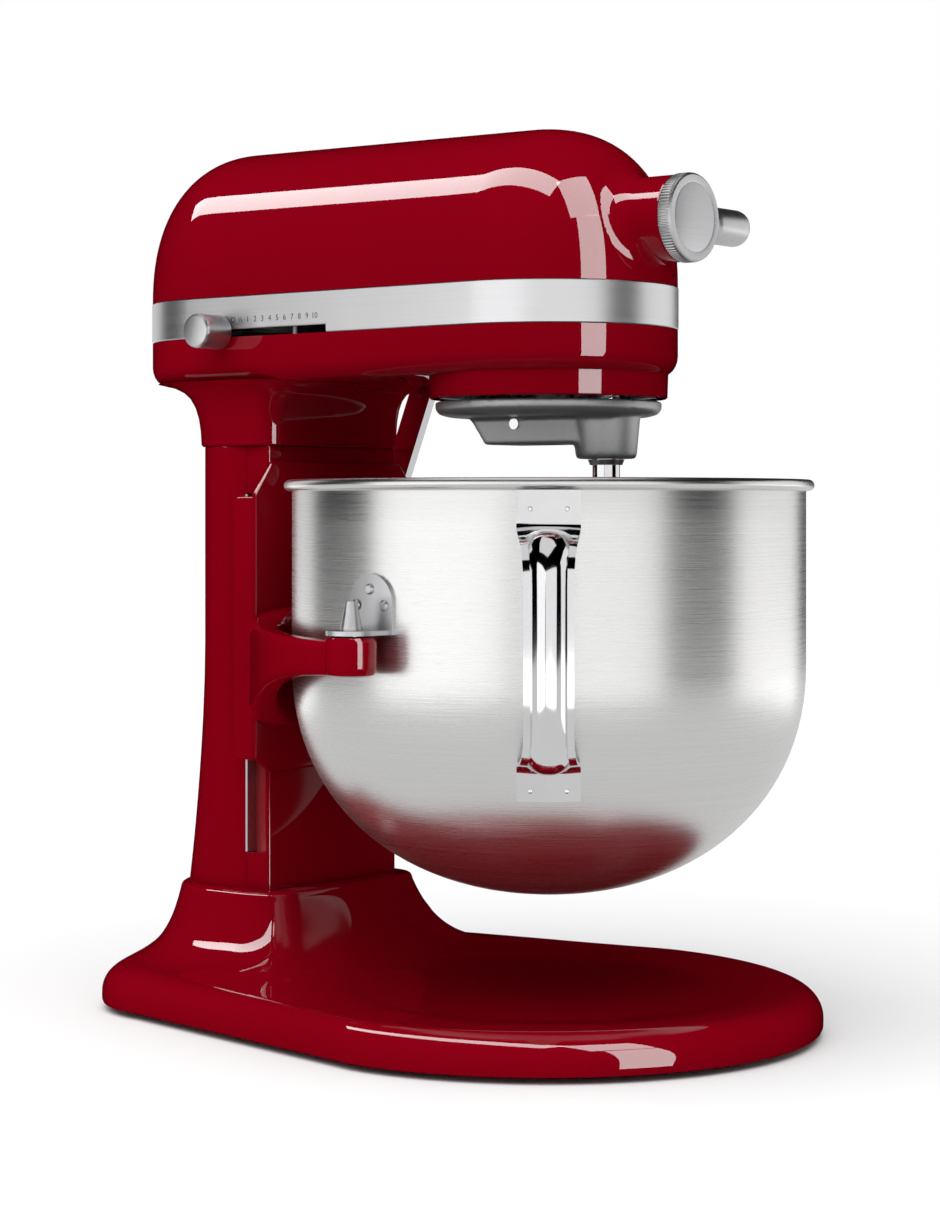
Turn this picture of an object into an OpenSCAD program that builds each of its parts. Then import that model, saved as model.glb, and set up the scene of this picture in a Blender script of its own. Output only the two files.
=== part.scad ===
// Bowl-lift stand mixer with a planetary head, an accessory hub and a removable bowl.
// All modules are drawn about the working axis: the vertical line that the bowl and the
// planetary head share. The mixer's front looks along -Y, and +X is the lift lever's side.

/* [Base] */
// Width of the base at the bowl
base_w = 263; // [240:1:310]
// Reach of the base in front of the working axis
base_front = 127; // [115:1:150]
// Reach of the base behind the working axis
base_back = 218; // [214:1:260]
// Width of the base at its tail
base_tail_w = 209; // [190:1:250]
// Height of the plate's top above the table
base_h = 20.7; // [18:0.1:25]
// Wall thickness of the base casting
base_wall = 4.5; // [3:0.1:6]
// Corner radius at the tail
base_corner_r = 50; // [40:1:60]
// Height of the plinth's top, where the column stands
plinth_h = 57.5; // [50:0.5:69]
// Radius of a foot pad
foot_r = 12; // [9:0.5:14]

/* [Column] */
// Working axis to the column's front face
throat = 132.4; // [130:0.1:160]
// Width of the column
col_w = 95.2; // [88:0.2:114]
// Depth of the column, front to back
col_d = 59; // [56:0.5:71]
// Height of the column above the plinth
col_h = 214.5; // [200:0.5:257]
// Wall thickness of the column
col_wall = 4.5; // [3.5:0.1:5.5]
// Radius of the column's back edges
col_back_r = 34; // [28:0.5:40]
// How far the column's foot spreads to the back
col_flare = 12; // [8:0.5:14]
// Depth of the dovetail guide
guide_d = 14; // [11.5:0.5:17]
// Undercut of the dovetail guide on each side
guide_undercut = 5.6; // [4:0.1:6.5]

/* [Bowl lift] */
// Lowest point of the carriage when the bowl is raised
carriage_z = 115.5; // [112:0.5:125]
// Height of the carriage plate
carriage_h = 149; // [140:0.5:152]
// Width of the carriage
carriage_w = 118; // [112:0.5:138]
// Travel of the bowl
lift_travel = 39.6; // [33:0.1:40]
// Half of the lever's throw, in degrees
lever_half_throw = 75; // [70:1:80]
// Length of the lever from its shaft
lever_len = 96; // [80:1:115]
// Forward lean of the lever when the bowl is raised
lever_lean = 21.9; // [10:0.1:30]
// Radius of the lift shaft
lift_shaft_r = 6; // [5:0.1:7]
// Thickness of the carriage plate
plate_web = 2.6; // [2.4:0.1:6]
// Height of the yoke's top face
yoke_z = 187; // [180:0.5:192]

/* [Bowl] */
// Outer radius of the bowl's wall
bowl_r = 118.8; // [99:0.1:119.5]
// Height of the bowl
bowl_h = 190.8; // [182:0.1:194]
// Height of the bowl's rim above the table when raised
bowl_top = 255; // [250:0.5:258]
// Wall thickness of the bowl
bowl_wall = 1.4; // [1:0.1:2]
// Radius of the rolled rim
rim_r = 2.6; // [2:0.1:3]
// How far the handle stands off the wall
handle_reach = 43; // [36:1:50]
// Direction of the handle, in degrees from the front towards -X
handle_turn = 53; // [30:1:60]

/* [Head] */
// Width of the head
head_w = 120; // [116:1:144]
// Working axis to the back of the head
head_back = 233.5; // [228:0.5:280]
// Height of the neck between column and head
neck_h = 29; // [24:0.5:35]
// Height of the lower housing, neck to trim band
lower_h = 23; // [21:0.5:27]
// Height of the trim band
band_h = 19.7; // [17:0.1:23]
// Height of the cover above the trim band
dome_h = 75.3; // [72:0.1:90]
// Wall thickness of the head
head_wall = 3.5; // [3:0.1:4]
// Radius of the drum over the planetary
drum_r = 55.2; // [53:0.1:57]

/* [Hub] */
// Height of the hub's axis above the trim band
hub_up = 28; // [27:0.5:32]
// How far the hub's cap stands in front of the head
hub_out = 21.8; // [20:0.1:28]
// Radius of the hub's cap
cap_r = 20.1; // [18:0.1:22]
// Thickness of the hub's cap
cap_t = 7.2; // [6:0.1:8.5]
// Radius of the hub's socket
socket_r = 12.7; // [11:0.1:13.5]

/* [Planetary] */
// Teeth on the fixed ring gear
ring_teeth = 60; // [60]
// Teeth on the beater pinion
planet_teeth = 16; // [16]
// Module of the planetary gears
planet_module = 1.5; // [1.5]
// Radius of the beater shaft
beater_r = 6.3; // [5.5:0.1:6.4]
// Radius of the drip disc
disc_r = 52.5; // [50:0.1:53]
// How far the beater shaft reaches below its collar
beater_reach = 36; // [30:1:38]

/* [Controls] */
// Travel of the speed lever
speed_travel = 42; // [36:1:50]
// Radius of the speed knob
speed_knob_r = 8.2; // [7:0.1:10]
// Length of the speed knob
speed_knob_l = 17.6; // [14:0.1:22]

/* [Fits] */
// Gap between parts that slide on each other
slide_gap = 0.4; // [0.3:0.05:0.5]
// Radial gap of a shaft in its bearing
run_gap = 0.05; // [0.03:0.01:0.08]

/* [Hidden] */

$fn = 48;
tiny = 0.01;

red = "firebrick";
steel = "silver";
zinc = "darkgray";
dark = "dimgray";

// Levels, from the table up
foot_gap = 2.5;
column_top = plinth_h + col_h;
head_floor = column_top + neck_h;
band_z = head_floor + lower_h;
band_top = band_z + band_h;
hub_z = band_top + hub_up;

// Places along Y, from the working axis back
col_back = throat + col_d;
head_r = head_w / 2;
head_tail = head_back - head_r;
// The origin lies in the middle of the whole mixer's footprint
axis_y = -(head_back - base_front) / 2;

module at_axis() { translate([0, axis_y, 0]) children(); }
module both_sides() { children(); mirror([1, 0, 0]) children(); }

// A quarter of a disc, for a round back corner
module back_corner(r) {
    intersection() {
        circle(r = r, $fn = 96);
        square(r + 1);
    }
}

// ---- Base ------------------------------------------------------------------------------

base_edge = 9;
base_belly_y = 7;
plate_top_t = 5;

module plate_slab(inset, z, h) {
    tail_x = base_tail_w / 2 - base_corner_r;
    translate([0, 0, z]) linear_extrude(h) {
        difference() {
            translate([0, base_belly_y]) scale([base_w / 2 - inset, base_front + base_belly_y - inset])
                circle(r = 1, $fn = 96);
            translate([-base_w, base_belly_y]) square([2 * base_w, base_w]);
        }
        both_sides() translate([tail_x, base_back - base_corner_r])
            circle(r = base_corner_r - inset, $fn = 64);
    }
}

// Outline of the column's foot, grown by g at the sides and front and by b at the back
module foot_slab(g, b, z, h) {
    r = col_back_r + b;
    w = col_w / 2 + g;
    back = col_back + col_flare + b;
    translate([0, 0, z]) linear_extrude(h) {
        both_sides() {
            translate([w - r, back - r]) back_corner(r);
            translate([w - g - 4, throat + 4]) circle(r = g + 4, $fn = 48);
        }
    }
}

plinth_steps = [[8, 4, 0], [10.5, 6, 4.5], [15.5, 8, 15.5], [27, 10, 25.5], [46, 11, 37.5]];
bolt_x = 28;
bolt_front = throat + 19;
bolt_back = col_back - 24;
bolt_r = 4;
bolt_floor = 7;

module column_bolt_places() {
    for (x = [-bolt_x, bolt_x], y = [bolt_front, bolt_back]) translate([x, y, 0]) children();
}

foot_places = [[-88, -30], [88, -30], [0, -104], [-74, 172], [74, 172]];
foot_screw_r = 2;
foot_boss_r = 7;
foot_t = 5;

module foot_at() {
    sx = (base_w / 2 - foot_r - 6) / 113.5;
    for (p = foot_places) translate([p[0] * sx, p[1] < 0 ? p[1] * (base_front - 19) / 108 : base_back - 46, 0])
        children();
}

module base() at_axis() color(red) {
    difference() {
        union() {
            hull() {
                plate_slab(1.5, foot_gap, 1);
                plate_slab(0, foot_gap + 2, base_h - foot_gap - 9);
                plate_slab(3, base_h - 3, 1);
                plate_slab(base_edge, base_h - 1, 1);
            }
            for (i = [0:3]) {
                hi = plinth_steps[i];
                lo = plinth_steps[i + 1];
                hull() {
                    foot_slab(hi[0], hi[1], plinth_h - hi[2] - tiny, tiny);
                    foot_slab(lo[0], lo[1], plinth_h - lo[2] - tiny, tiny);
                }
            }
        }
        difference() {
            hull() {
                plate_slab(base_wall, 0, 1);
                plate_slab(base_wall + 4, base_h - plate_top_t - 1, 1);
            }
            foot_at() cylinder(r = foot_boss_r, h = base_h);
        }
        translate([-col_w / 2 + 6, throat + 6, 0])
            cube([col_w - 12, col_d - 12, plinth_h - bolt_floor]);
        translate([0, 0, plinth_h - bolt_floor - 1]) column_bolt_places()
            cylinder(r = bolt_r + 0.3, h = bolt_floor + 2);
        foot_at() {
            translate([0, 0, 0]) cylinder(r = foot_screw_r, h = base_h - 4);
            translate([0, 0, foot_gap - 1]) cylinder(r = foot_r + 0.2, h = 1 + 1.5);
        }
    }
}

module base_feet() at_axis() color("#333333") {
    foot_at() difference() {
        union() {
            cylinder(r1 = foot_r - 1, r2 = foot_r, h = 1);
            translate([0, 0, 1]) cylinder(r = foot_r, h = foot_gap + 0.5);
        }
        translate([0, 0, -1]) cylinder(r = foot_screw_r + 2.4, h = 2.8);
        translate([0, 0, -1]) cylinder(r = foot_screw_r + 0.2, h = foot_t + 2);
    }
}

module foot_screws() at_axis() color(steel) {
    foot_at() {
        translate([0, 0, 0.6]) cylinder(r = foot_screw_r + 2, h = 1.2 - tiny);
        translate([0, 0, 1.7]) cylinder(r = foot_screw_r - 0.05, h = 11);
    }
}

// ---- Column ----------------------------------------------------------------------------

guide_back = throat + guide_d;
recess_z = carriage_z - lift_travel - 0.5;
recess_top = carriage_z + carriage_h + 1;
strip_t = 1;

// Lift shaft and crank: the crank's eye swings just clear of the column's back wall
crank_r = lift_travel / 2 / sin(lever_half_throw);
eye_r = 5;
shaft_y = col_back - col_wall - 0.8 - eye_r - crank_r;
shaft_z = plinth_h + 164.5;
boss_r = 12;
bush_r = 9;
bush_l = 10;
boss_in = 8;

// Where the lift bracket reaches through the column's front
bracket_z = shaft_z - 30.2;
slot_w = 40;

module col_block(inset) {
    r = col_back_r - inset;
    w = col_w / 2 - inset;
    both_sides() {
        translate([w - r, col_back - inset - r]) back_corner(r);
        translate([-tiny, throat + inset]) square([w + tiny, col_d - 2 * inset - r]);
        translate([-tiny, throat + inset]) square([w - r + tiny, col_d - 2 * inset]);
    }
}

module col_guide() {
    difference() {
        col_block(0);
        both_sides() polygon([
            [col_w / 2 - guide_undercut, guide_back],
            [col_w / 2 + 1, guide_back],
            [col_w / 2 + 1, throat - 1],
            [col_w / 2 + guide_undercut / guide_d, throat - 1]
        ]);
    }
}

module column() at_axis() color(red) {
    difference() {
        union() {
            translate([0, 0, plinth_h]) linear_extrude(recess_z - plinth_h) col_block(0);
            translate([0, 0, recess_z - tiny]) linear_extrude(recess_top - recess_z + 2 * tiny)
                col_guide();
            translate([0, 0, recess_top]) linear_extrude(column_top - recess_top) col_block(0);
            hull() {
                foot_flare(col_flare, plinth_h);
                foot_flare(col_flare * 0.33, plinth_h + 56);
            }
            hull() {
                foot_flare(col_flare * 0.33, plinth_h + 56);
                foot_flare(-0.5, plinth_h + 120);
            }
        }
        difference() {
            translate([0, 0, plinth_h + bolt_floor])
                linear_extrude(col_h - 2 * bolt_floor) col_cavity();
            translate([boss_in, shaft_y, shaft_z]) rotate([0, 90, 0])
                cylinder(r = boss_r, h = col_w / 2 - boss_in);
        }
        translate([boss_in - 1, shaft_y, shaft_z]) rotate([0, 90, 0])
            cylinder(r = bush_r, h = col_w / 2 - boss_in + 2);
        translate([-slot_w / 2, throat - 1, bracket_z - lift_travel - 13])
            cube([slot_w, col_wall + 2, lift_travel + 27]);
        translate([0, 0, plinth_h - 1]) column_bolt_places()
            cylinder(r = bolt_r, h = bolt_floor + 2);
        translate([0, 0, column_top - bolt_floor - 1]) column_bolt_places()
            cylinder(r = bolt_r + 0.3, h = bolt_floor + 2);
        translate([-12, shaft_y - 8, column_top - bolt_floor - 1]) cube([24, 16, bolt_floor + 2]);
    }
}

module col_cavity() {
    w = col_w / 2 - guide_undercut - col_wall;
    both_sides() translate([-tiny, throat + col_wall]) square([w + tiny, guide_d]);
    intersection() {
        col_block(col_wall);
        translate([-col_w, guide_back + col_wall]) square([2 * col_w, col_d]);
    }
}

module foot_flare(b, z) {
    r = col_back_r;
    translate([0, 0, z]) linear_extrude(tiny) both_sides() {
        translate([col_w / 2 - r - 0.4, col_back - r + b]) back_corner(r);
        translate([0, col_back - r]) square([col_w / 2 - 0.4, 1]);
    }
}

module column_bolts() at_axis() color(zinc) {
    column_bolt_places() {
        translate([0, 0, plinth_h - bolt_floor - 5]) cylinder(r = 7, h = 5);
        translate([0, 0, plinth_h - bolt_floor - tiny])
            cylinder(r = bolt_r - 0.05, h = 2 * bolt_floor - 1);
    }
}

module guide_strips() at_axis() color(steel) {
    set_in = guide_undercut * (1 - strip_t / guide_d) - 0.05;
    both_sides() translate([col_w / 2 - set_in, guide_back - strip_t, recess_z])
        cube([set_in - 0.2, strip_t, recess_top - recess_z]);
}

module lift_bushes() at_axis() color("darkgoldenrod") {
    for (x = [boss_in, col_w / 2 - bush_l]) translate([x, shaft_y, shaft_z]) rotate([0, 90, 0])
        difference() {
            cylinder(r = bush_r, h = bush_l);
            translate([0, 0, -1]) cylinder(r = lift_shaft_r + run_gap, h = bush_l + 2);
        }
}

// ---- Head ------------------------------------------------------------------------------

dome_power = 2.3;
dome_steps = 14;
lip_t = 3;
seam_z = band_z + band_h / 2;
band_proud = 0.3;
drum_z = head_floor - 8.8;
drum_top = head_floor + 7.3;
drum_bore = drum_r - 4.2;
drum_floor = head_floor + 2;
gear_floor = head_floor + 6;
neck_side = 2;

// Stadium-shaped plan of the head, grown by g
module head_plan(g) {
    r = head_r + g;
    circle(r = r, $fn = 96);
    translate([-r, 0]) square([2 * r, head_tail]);
    translate([0, head_tail]) circle(r = r, $fn = 96);
}

// Half section of the domed cover: width at each height follows a rounded arch
function dome_point(a, w, h) = [w * pow(cos(a), 2 / dome_power), h * pow(sin(a), 2 / dome_power)];
function dome_half(w, h) = concat([[0, 0]], [for (i = [0:dome_steps]) dome_point(90 * i / dome_steps, w, h)]);

module dome(w, h) {
    rotate_extrude($fn = 96) polygon(dome_half(w, h));
    translate([0, head_tail, 0]) rotate_extrude($fn = 96) polygon(dome_half(w, h));
    translate([0, head_tail, 0]) rotate([90, 0, 0]) linear_extrude(head_tail) {
        polygon(dome_half(w, h));
        mirror([1, 0]) polygon(dome_half(w, h));
    }
}

// Gear train places and sizes
main_teeth = 56;
counter_small = 14;
main_module = 1.25;
counter_teeth = 60;
motor_teeth = 12;
motor_module = 1;
counter_y = (main_teeth + counter_small) * main_module / 2;
motor_y = counter_y + (counter_teeth + motor_teeth) * motor_module / 2;
main_r = 8;
counter_r = 4;
motor_r = 3;
low_gear_z = gear_floor + 7;
low_gear_t = 8;
high_gear_z = low_gear_z + low_gear_t + 4;
high_gear_t = 6;
plate_z = high_gear_z + high_gear_t + 3;
plate_t = 5;
bearing_r = 13;
bearing_t = 6;
small_bush_r = 7;
hub_teeth = 16;
crown_teeth = 32;
hub_module = 1.5;
crown_z = hub_z - hub_teeth * hub_module / 2;

post_places = [[-1, 8], [1, 8], [-1, 118], [1, 118]];
module posts() { for (p = post_places) translate([p[0] * (head_r - 16), p[1], 0]) children(); }

module neck_slab(g, b, z) {
    r = col_back_r + b;
    w = col_w / 2 + g;
    translate([0, 0, z]) linear_extrude(tiny) both_sides() {
        translate([w - r, col_back + b - r]) back_corner(r);
        translate([w - 5, throat - g + 5]) circle(r = 5, $fn = 32);
    }
}

cover_screw_y = [30, 100, 165];
cover_screw_r = 1.6;
slot_front = 84.5;
slot_back = slot_front + speed_travel + 28.5;
slot_h = 4;

module head_lower() at_axis() color(red) {
    difference() {
        union() {
            translate([0, 0, drum_top]) linear_extrude(band_z - drum_top) head_plan(0);
            translate([0, 0, head_floor]) linear_extrude(drum_top - head_floor + tiny) head_plan(-4);
            translate([0, 0, drum_z]) cylinder(r = drum_r, h = drum_top - drum_z, $fn = 96);
            translate([0, 0, band_z - tiny]) linear_extrude(seam_z - band_z) head_plan(-2.2);
            translate([0, 0, column_top]) linear_extrude(neck_h + 4) col_block(-neck_side);
            hull() {
                neck_slab(neck_side - 0.2, neck_side - 0.2, column_top + neck_h / 2);
                neck_slab(neck_side + 2, neck_side + 8, head_floor - 4);
                neck_slab(neck_side + 5, neck_side + 22, head_floor + 4);
            }
        }
        difference() {
            translate([0, 0, gear_floor]) linear_extrude(band_z) head_plan(-2.2 - lip_t);
            translate([0, 0, gear_floor - 1]) {
                posts() cylinder(r = 6, h = plate_z - gear_floor + 1);
                translate([0, counter_y, 0]) cylinder(r = small_bush_r + 4, h = 6);
                cylinder(r = bearing_r + 4, h = 4);
            }
        }
        translate([0, 0, drum_z - 1]) cylinder(r = drum_bore, h = drum_floor - drum_z + 1, $fn = 96);
        translate([0, 0, drum_floor - 1]) cylinder(r = bearing_r, h = 20);
        translate([0, 0, drum_floor - 3]) cylinder(r = main_r + 2, h = 10);
        translate([0, counter_y, gear_floor - 1]) cylinder(r = small_bush_r, h = 10);
        translate([0, 0, plate_z - 12]) posts() cylinder(r = 1.9, h = 14);
        translate([-14, shaft_y - 14, column_top - 1]) cube([28, 28, neck_h + 12]);
        translate([0, 0, column_top - 1]) column_bolt_places() cylinder(r = bolt_r, h = neck_h - 2);
        // Slot of the speed lever, through the lip and the housing's top edge
        translate([-head_r - 1, slot_front, band_z - 0.4]) cube([12, slot_back - slot_front, slot_h + 0.4]);
        // Screw holes of the cover, and the hole of the cord gland
        for (y = cover_screw_y) both_sides() translate([head_r - 2, y, band_z + 6]) rotate([0, -90, 0])
            cylinder(r = cover_screw_r, h = 8);
        translate([0, head_back - 14, gland_z]) rotate([-90, 0, 0]) cylinder(r = gland_r, h = 20);
    }
}

gland_r = 6.5;
gland_z = band_z - 7.5;

module neck_bolts() at_axis() color(zinc) {
    column_bolt_places() {
        translate([0, 0, column_top - bolt_floor - 5]) cylinder(r = 7, h = 5);
        translate([0, 0, column_top - bolt_floor - tiny]) cylinder(r = bolt_r - 0.05, h = neck_h - 2);
    }
}

module trim_band() at_axis() color("gainsboro") {
    difference() {
        translate([0, 0, band_z + 0.1]) linear_extrude(band_h - 0.2) difference() {
            head_plan(band_proud);
            head_plan(-2.1);
        }
        translate([-head_r - 1, slot_front, band_z - 1]) cube([6, slot_back - slot_front, slot_h + 1]);
    }
}

hub_reach = head_r + hub_out;
hub_depth = 22;
cap_seat_r = socket_r + 1;
cap_seat = 3.8;
bush_out = 11.5;
hub_r = cap_r - 0.4;
hub_face = hub_reach - cap_t;
knob_boss_r = 7.6;
knob_y = hub_face - knob_boss_r;
knob_boss = 28;

module head_cover() at_axis() color(red) {
    difference() {
        union() {
            difference() {
                union() {
                    translate([0, 0, band_top]) dome(head_r, dome_h);
                    translate([0, 0, seam_z + 0.2]) linear_extrude(band_top - seam_z) head_plan(-2.2);
                    hub_barrel(hub_r);
                }
                translate([0, 0, band_top + 1]) dome(head_r - head_wall, dome_h - head_wall - 1);
                translate([0, 0, seam_z]) linear_extrude(band_top - seam_z + 1 + tiny)
                    head_plan(-2.2 - lip_t);
            }
            intersection() {
                hub_barrel(hub_r);
                translate([-60, -hub_face, hub_z - 60]) cube([120, hub_face - 30, 120]);
            }
            translate([0, -knob_y, hub_z]) rotate([0, 90, 0]) cylinder(r = knob_boss_r, h = knob_boss);
        }
        hub_barrel(bush_out, 1);
        translate([0, -hub_face - 1, hub_z]) rotate([-90, 0, 0]) {
            cylinder(r = socket_r, h = hub_depth + 1);
            cylinder(r = cap_seat_r, h = cap_seat + 1);
        }
        translate([0, -knob_y, hub_z]) rotate([0, 90, 0]) cylinder(r = 4 + run_gap, h = knob_boss + 1);
        for (y = cover_screw_y) both_sides() translate([head_r - 2, y, band_z + 14]) rotate([0, -90, 0])
            cylinder(r = cover_screw_r, h = 8);
    }
}

module hub_barrel(r, extra = 0) {
    translate([0, -hub_face - extra, hub_z]) rotate([-90, 0, 0])
        cylinder(r = r, h = hub_face + extra - 20);
}

module cover_screws() at_axis() color(zinc) {
    for (y = cover_screw_y, z = [band_z + 6, band_z + 14]) both_sides()
        translate([head_r - 2.3, y, z]) rotate([0, -90, 0]) cylinder(r = cover_screw_r - 0.05, h = 6);
}

module gear_plate() at_axis() color(zinc) {
    difference() {
        translate([0, 0, plate_z]) linear_extrude(plate_t) intersection() {
            head_plan(-2.2 - lip_t - 4);
            translate([-head_r, -22]) square([head_w, 22 + 150]);
        }
        translate([0, 0, plate_z - 1]) {
            cylinder(r = bearing_r, h = plate_t + 2);
            translate([0, counter_y, 0]) cylinder(r = small_bush_r, h = plate_t + 2);
            translate([0, motor_y, 0]) cylinder(r = bearing_r, h = plate_t + 2);
            posts() cylinder(r = 2.2, h = plate_t + 2);
        }
        translate([-head_r, slot_front - 6, plate_z - 1]) cube([14, 80, plate_t + 2]);
    }
}

module plate_screws() at_axis() color(zinc) {
    posts() {
        translate([0, 0, plate_z + plate_t]) cylinder(r = 3.6, h = 2.6);
        translate([0, 0, plate_z - 11]) cylinder(r = 1.85, h = 11 + plate_t + tiny);
    }
}

// ---- Gears -----------------------------------------------------------------------------

// Straight-sided gear outline: share is the tooth's share of the pitch at the pitch circle
function tooth(n, m, i, up, down, share, lean) =
    let (r = n * m / 2, a = 360 * i / n, half = 180 * share / n,
         tip = half - lean * up * 180 / (PI * r), root = half + lean * down * 180 / (PI * r))
    [for (p = [[r - down, -root], [r + up, -tip], [r + up, tip], [r - down, root]])
        [p[0] * cos(a + p[1]), p[0] * sin(a + p[1])]];

module gear_plan(n, m, share = 0.42) {
    polygon([for (i = [0:n - 1]) each tooth(n, m, i, 0.8 * m, 1.2 * m, share, 0.36)]);
}

module spur(n, m, t, bore, phase = 0) {
    rotate([0, 0, phase]) difference() {
        linear_extrude(t) gear_plan(n, m);
        translate([0, 0, -1]) cylinder(r = bore, h = t + 2);
    }
}

planet_e = (ring_teeth - planet_teeth) * planet_module / 2;
ring_z = drum_z + 1;
ring_t = 8;

module ring_gear() at_axis() color(zinc) {
    m = planet_module;
    translate([0, 0, ring_z]) linear_extrude(ring_t) difference() {
        circle(r = drum_bore, $fn = 96);
        polygon([for (i = [0:ring_teeth - 1])
            each tooth(ring_teeth, m, i + 0.5, 1.2 * m, 0.8 * m, 0.58, 0.36)]);
    }
}

module ball_bearing(inner, outer, t) {
    difference() {
        cylinder(r = outer, h = t);
        translate([0, 0, -1]) cylinder(r = inner + run_gap, h = t + 2);
    }
}

module main_bearings() at_axis() color(steel) {
    translate([0, 0, drum_floor]) ball_bearing(main_r, bearing_r, bearing_t);
    translate([0, 0, plate_z]) ball_bearing(main_r, bearing_r, bearing_t);
}

module counter_bushes() at_axis() color("darkgoldenrod") {
    translate([0, counter_y, gear_floor - 1]) ball_bearing(counter_r, small_bush_r, 6);
    translate([0, counter_y, plate_z]) ball_bearing(counter_r, small_bush_r, plate_t);
}

// ---- Motor -----------------------------------------------------------------------------

can_r = 38;
can_z = plate_z + plate_t;
can_h = min(52, dome_h - head_wall - 24);
can_t = 2;

module motor_can() at_axis() color(dark) {
    translate([0, motor_y, can_z]) difference() {
        cylinder(r = can_r, h = can_h);
        translate([0, 0, 3]) cylinder(r = can_r - can_t, h = can_h - 6);
        translate([0, 0, -1]) cylinder(r = 9, h = can_h + 2);
        for (a = [0:45:315]) rotate(a) translate([can_r - 14, 0, can_h - 4]) cylinder(r = 4, h = 5);
    }
}

module motor_bearings() at_axis() color(steel) {
    translate([0, motor_y, can_z]) ball_bearing(motor_r, 9, 3);
    translate([0, motor_y, can_z + can_h - 3]) ball_bearing(motor_r, 9, 3);
}

module motor_shaft() at_axis() color(steel) {
    translate([0, motor_y, high_gear_z - 1]) cylinder(r = motor_r, h = can_z + can_h - high_gear_z);
}

module motor_pinion() at_axis() color(steel) {
    translate([0, motor_y, high_gear_z]) spur(motor_teeth, motor_module, high_gear_t, motor_r, 270);
}

module motor_rotor() at_axis() color("peru") {
    translate([0, motor_y, can_z + 8]) difference() {
        union() {
            cylinder(r = 16, h = can_h - 16);
            for (a = [0:40:320]) rotate(a) translate([14, -5, 4]) cube([16, 10, can_h - 24]);
        }
        translate([0, 0, -1]) cylinder(r = motor_r, h = can_h);
    }
}

module motor_fan() at_axis() color("whitesmoke") {
    translate([0, motor_y, can_z + 4]) difference() {
        union() {
            cylinder(r = 33, h = 1.4);
            for (a = [0:30:330]) rotate(a) translate([17, -0.7, 1]) cube([15.5, 1.4, 2.6]);
        }
        translate([0, 0, -1]) cylinder(r = motor_r, h = 6);
    }
}

// ---- Shafts and gears that turn --------------------------------------------------------

module main_shaft() at_axis() color(steel) {
    translate([0, 0, housing_z]) cylinder(r = main_r, h = crown_z - 3 - housing_z);
}

module main_gear() at_axis() color(steel) {
    translate([0, 0, low_gear_z]) spur(main_teeth, main_module, low_gear_t, main_r);
}

module crown_gear() at_axis() color(steel) {
    r = crown_teeth * hub_module / 2;
    half = 0.28 * 180 / crown_teeth;
    difference() {
        union() {
            translate([0, 0, crown_z - 8]) cylinder(r = r + 4, h = 8 - 1.2 * hub_module);
            translate([0, 0, crown_z - 1.3 * hub_module]) linear_extrude(1.9 * hub_module)
                for (i = [0:crown_teeth - 1]) rotate(360 * (i + 0.5) / crown_teeth) polygon([
                    (r - 3) * [cos(half), -sin(half)], (r + 3.6) * [cos(half), -sin(half)],
                    (r + 3.6) * [cos(half), sin(half)], (r - 3) * [cos(half), sin(half)]
                ]);
        }
        translate([0, 0, crown_z - 9]) cylinder(r = main_r, h = 6);
    }
}

module counter_shaft() at_axis() color(steel) {
    translate([0, counter_y, gear_floor - 1]) cylinder(r = counter_r, h = plate_z + plate_t - gear_floor);
}

module counter_gear() at_axis() color("ivory") {
    translate([0, counter_y, high_gear_z]) spur(counter_teeth, motor_module, high_gear_t, counter_r, 3);
}

module counter_pinion() at_axis() color(steel) {
    translate([0, counter_y, low_gear_z])
        spur(counter_small, main_module, low_gear_t + 3, counter_r, 90 - 180 / counter_small);
}

module hub_bush() at_axis() color("darkgoldenrod") {
    translate([0, -hub_face + hub_depth, hub_z]) rotate([-90, 0, 0]) difference() {
        cylinder(r = bush_out, h = 14);
        translate([0, 0, -1]) cylinder(r = hub_shaft_r + run_gap, h = 16);
    }
}

hub_shaft_r = 8;
hub_socket = 5;

module hub_shaft() at_axis() color(steel) {
    back = crown_teeth * hub_module / 2 - 8;
    translate([0, -hub_face + hub_depth, hub_z]) rotate([-90, 0, 0]) difference() {
        cylinder(r = hub_shaft_r, h = hub_face - hub_depth - back);
        translate([-hub_socket, -hub_socket, -1]) cube([2 * hub_socket, 2 * hub_socket, 15]);
    }
}

module hub_pinion() at_axis() color(steel) {
    mid = crown_teeth * hub_module / 2;
    translate([0, -mid - 4.5, hub_z]) rotate([-90, 0, 0])
        spur(hub_teeth, hub_module, 7, hub_shaft_r, 0);
}

// ---- Planetary -------------------------------------------------------------------------

housing_z = drum_z - 20.8;
disc_z = drum_z - 6.6;
disc_t = 5.6;
spindle_r = 15;
arm_half = 14;
arm_back = 27;
screw_y = 9;
collar_z = housing_z - 9.8;

module planetary_housing() at_axis() color(zinc) {
    difference() {
        union() {
            translate([0, 0, disc_z]) cylinder(r = disc_r, h = disc_t);
            translate([0, 0, disc_z - 3]) cylinder(r1 = disc_r - 5, r2 = disc_r - 1, h = 3 + tiny);
            cylinder_at(main_r + 7, housing_z, disc_z - housing_z + 1);
            translate([-arm_half, 0, 0]) rotate([90, 0, 90]) linear_extrude(2 * arm_half) polygon([
                [-planet_e, housing_z], [arm_back, housing_z],
                [arm_back + 11, disc_z - 1], [-planet_e, disc_z - 1]
            ]);
            translate([0, -planet_e, housing_z - 7])
                cylinder(r1 = spindle_r - 1.5, r2 = spindle_r + 1, h = disc_z - housing_z + 8);
        }
        cylinder_at(main_r, housing_z - 1, 40);
        translate([0, -planet_e, 0]) cylinder_at(beater_r + run_gap, housing_z - 8, 50);
        translate([-arm_half - 1, screw_y, housing_z + 9.5]) rotate([0, 90, 0])
            cylinder(r = 2.6, h = arm_half + 1);
    }
}

module cylinder_at(r, z, h) { translate([0, 0, z]) cylinder(r = r, h = h); }

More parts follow.
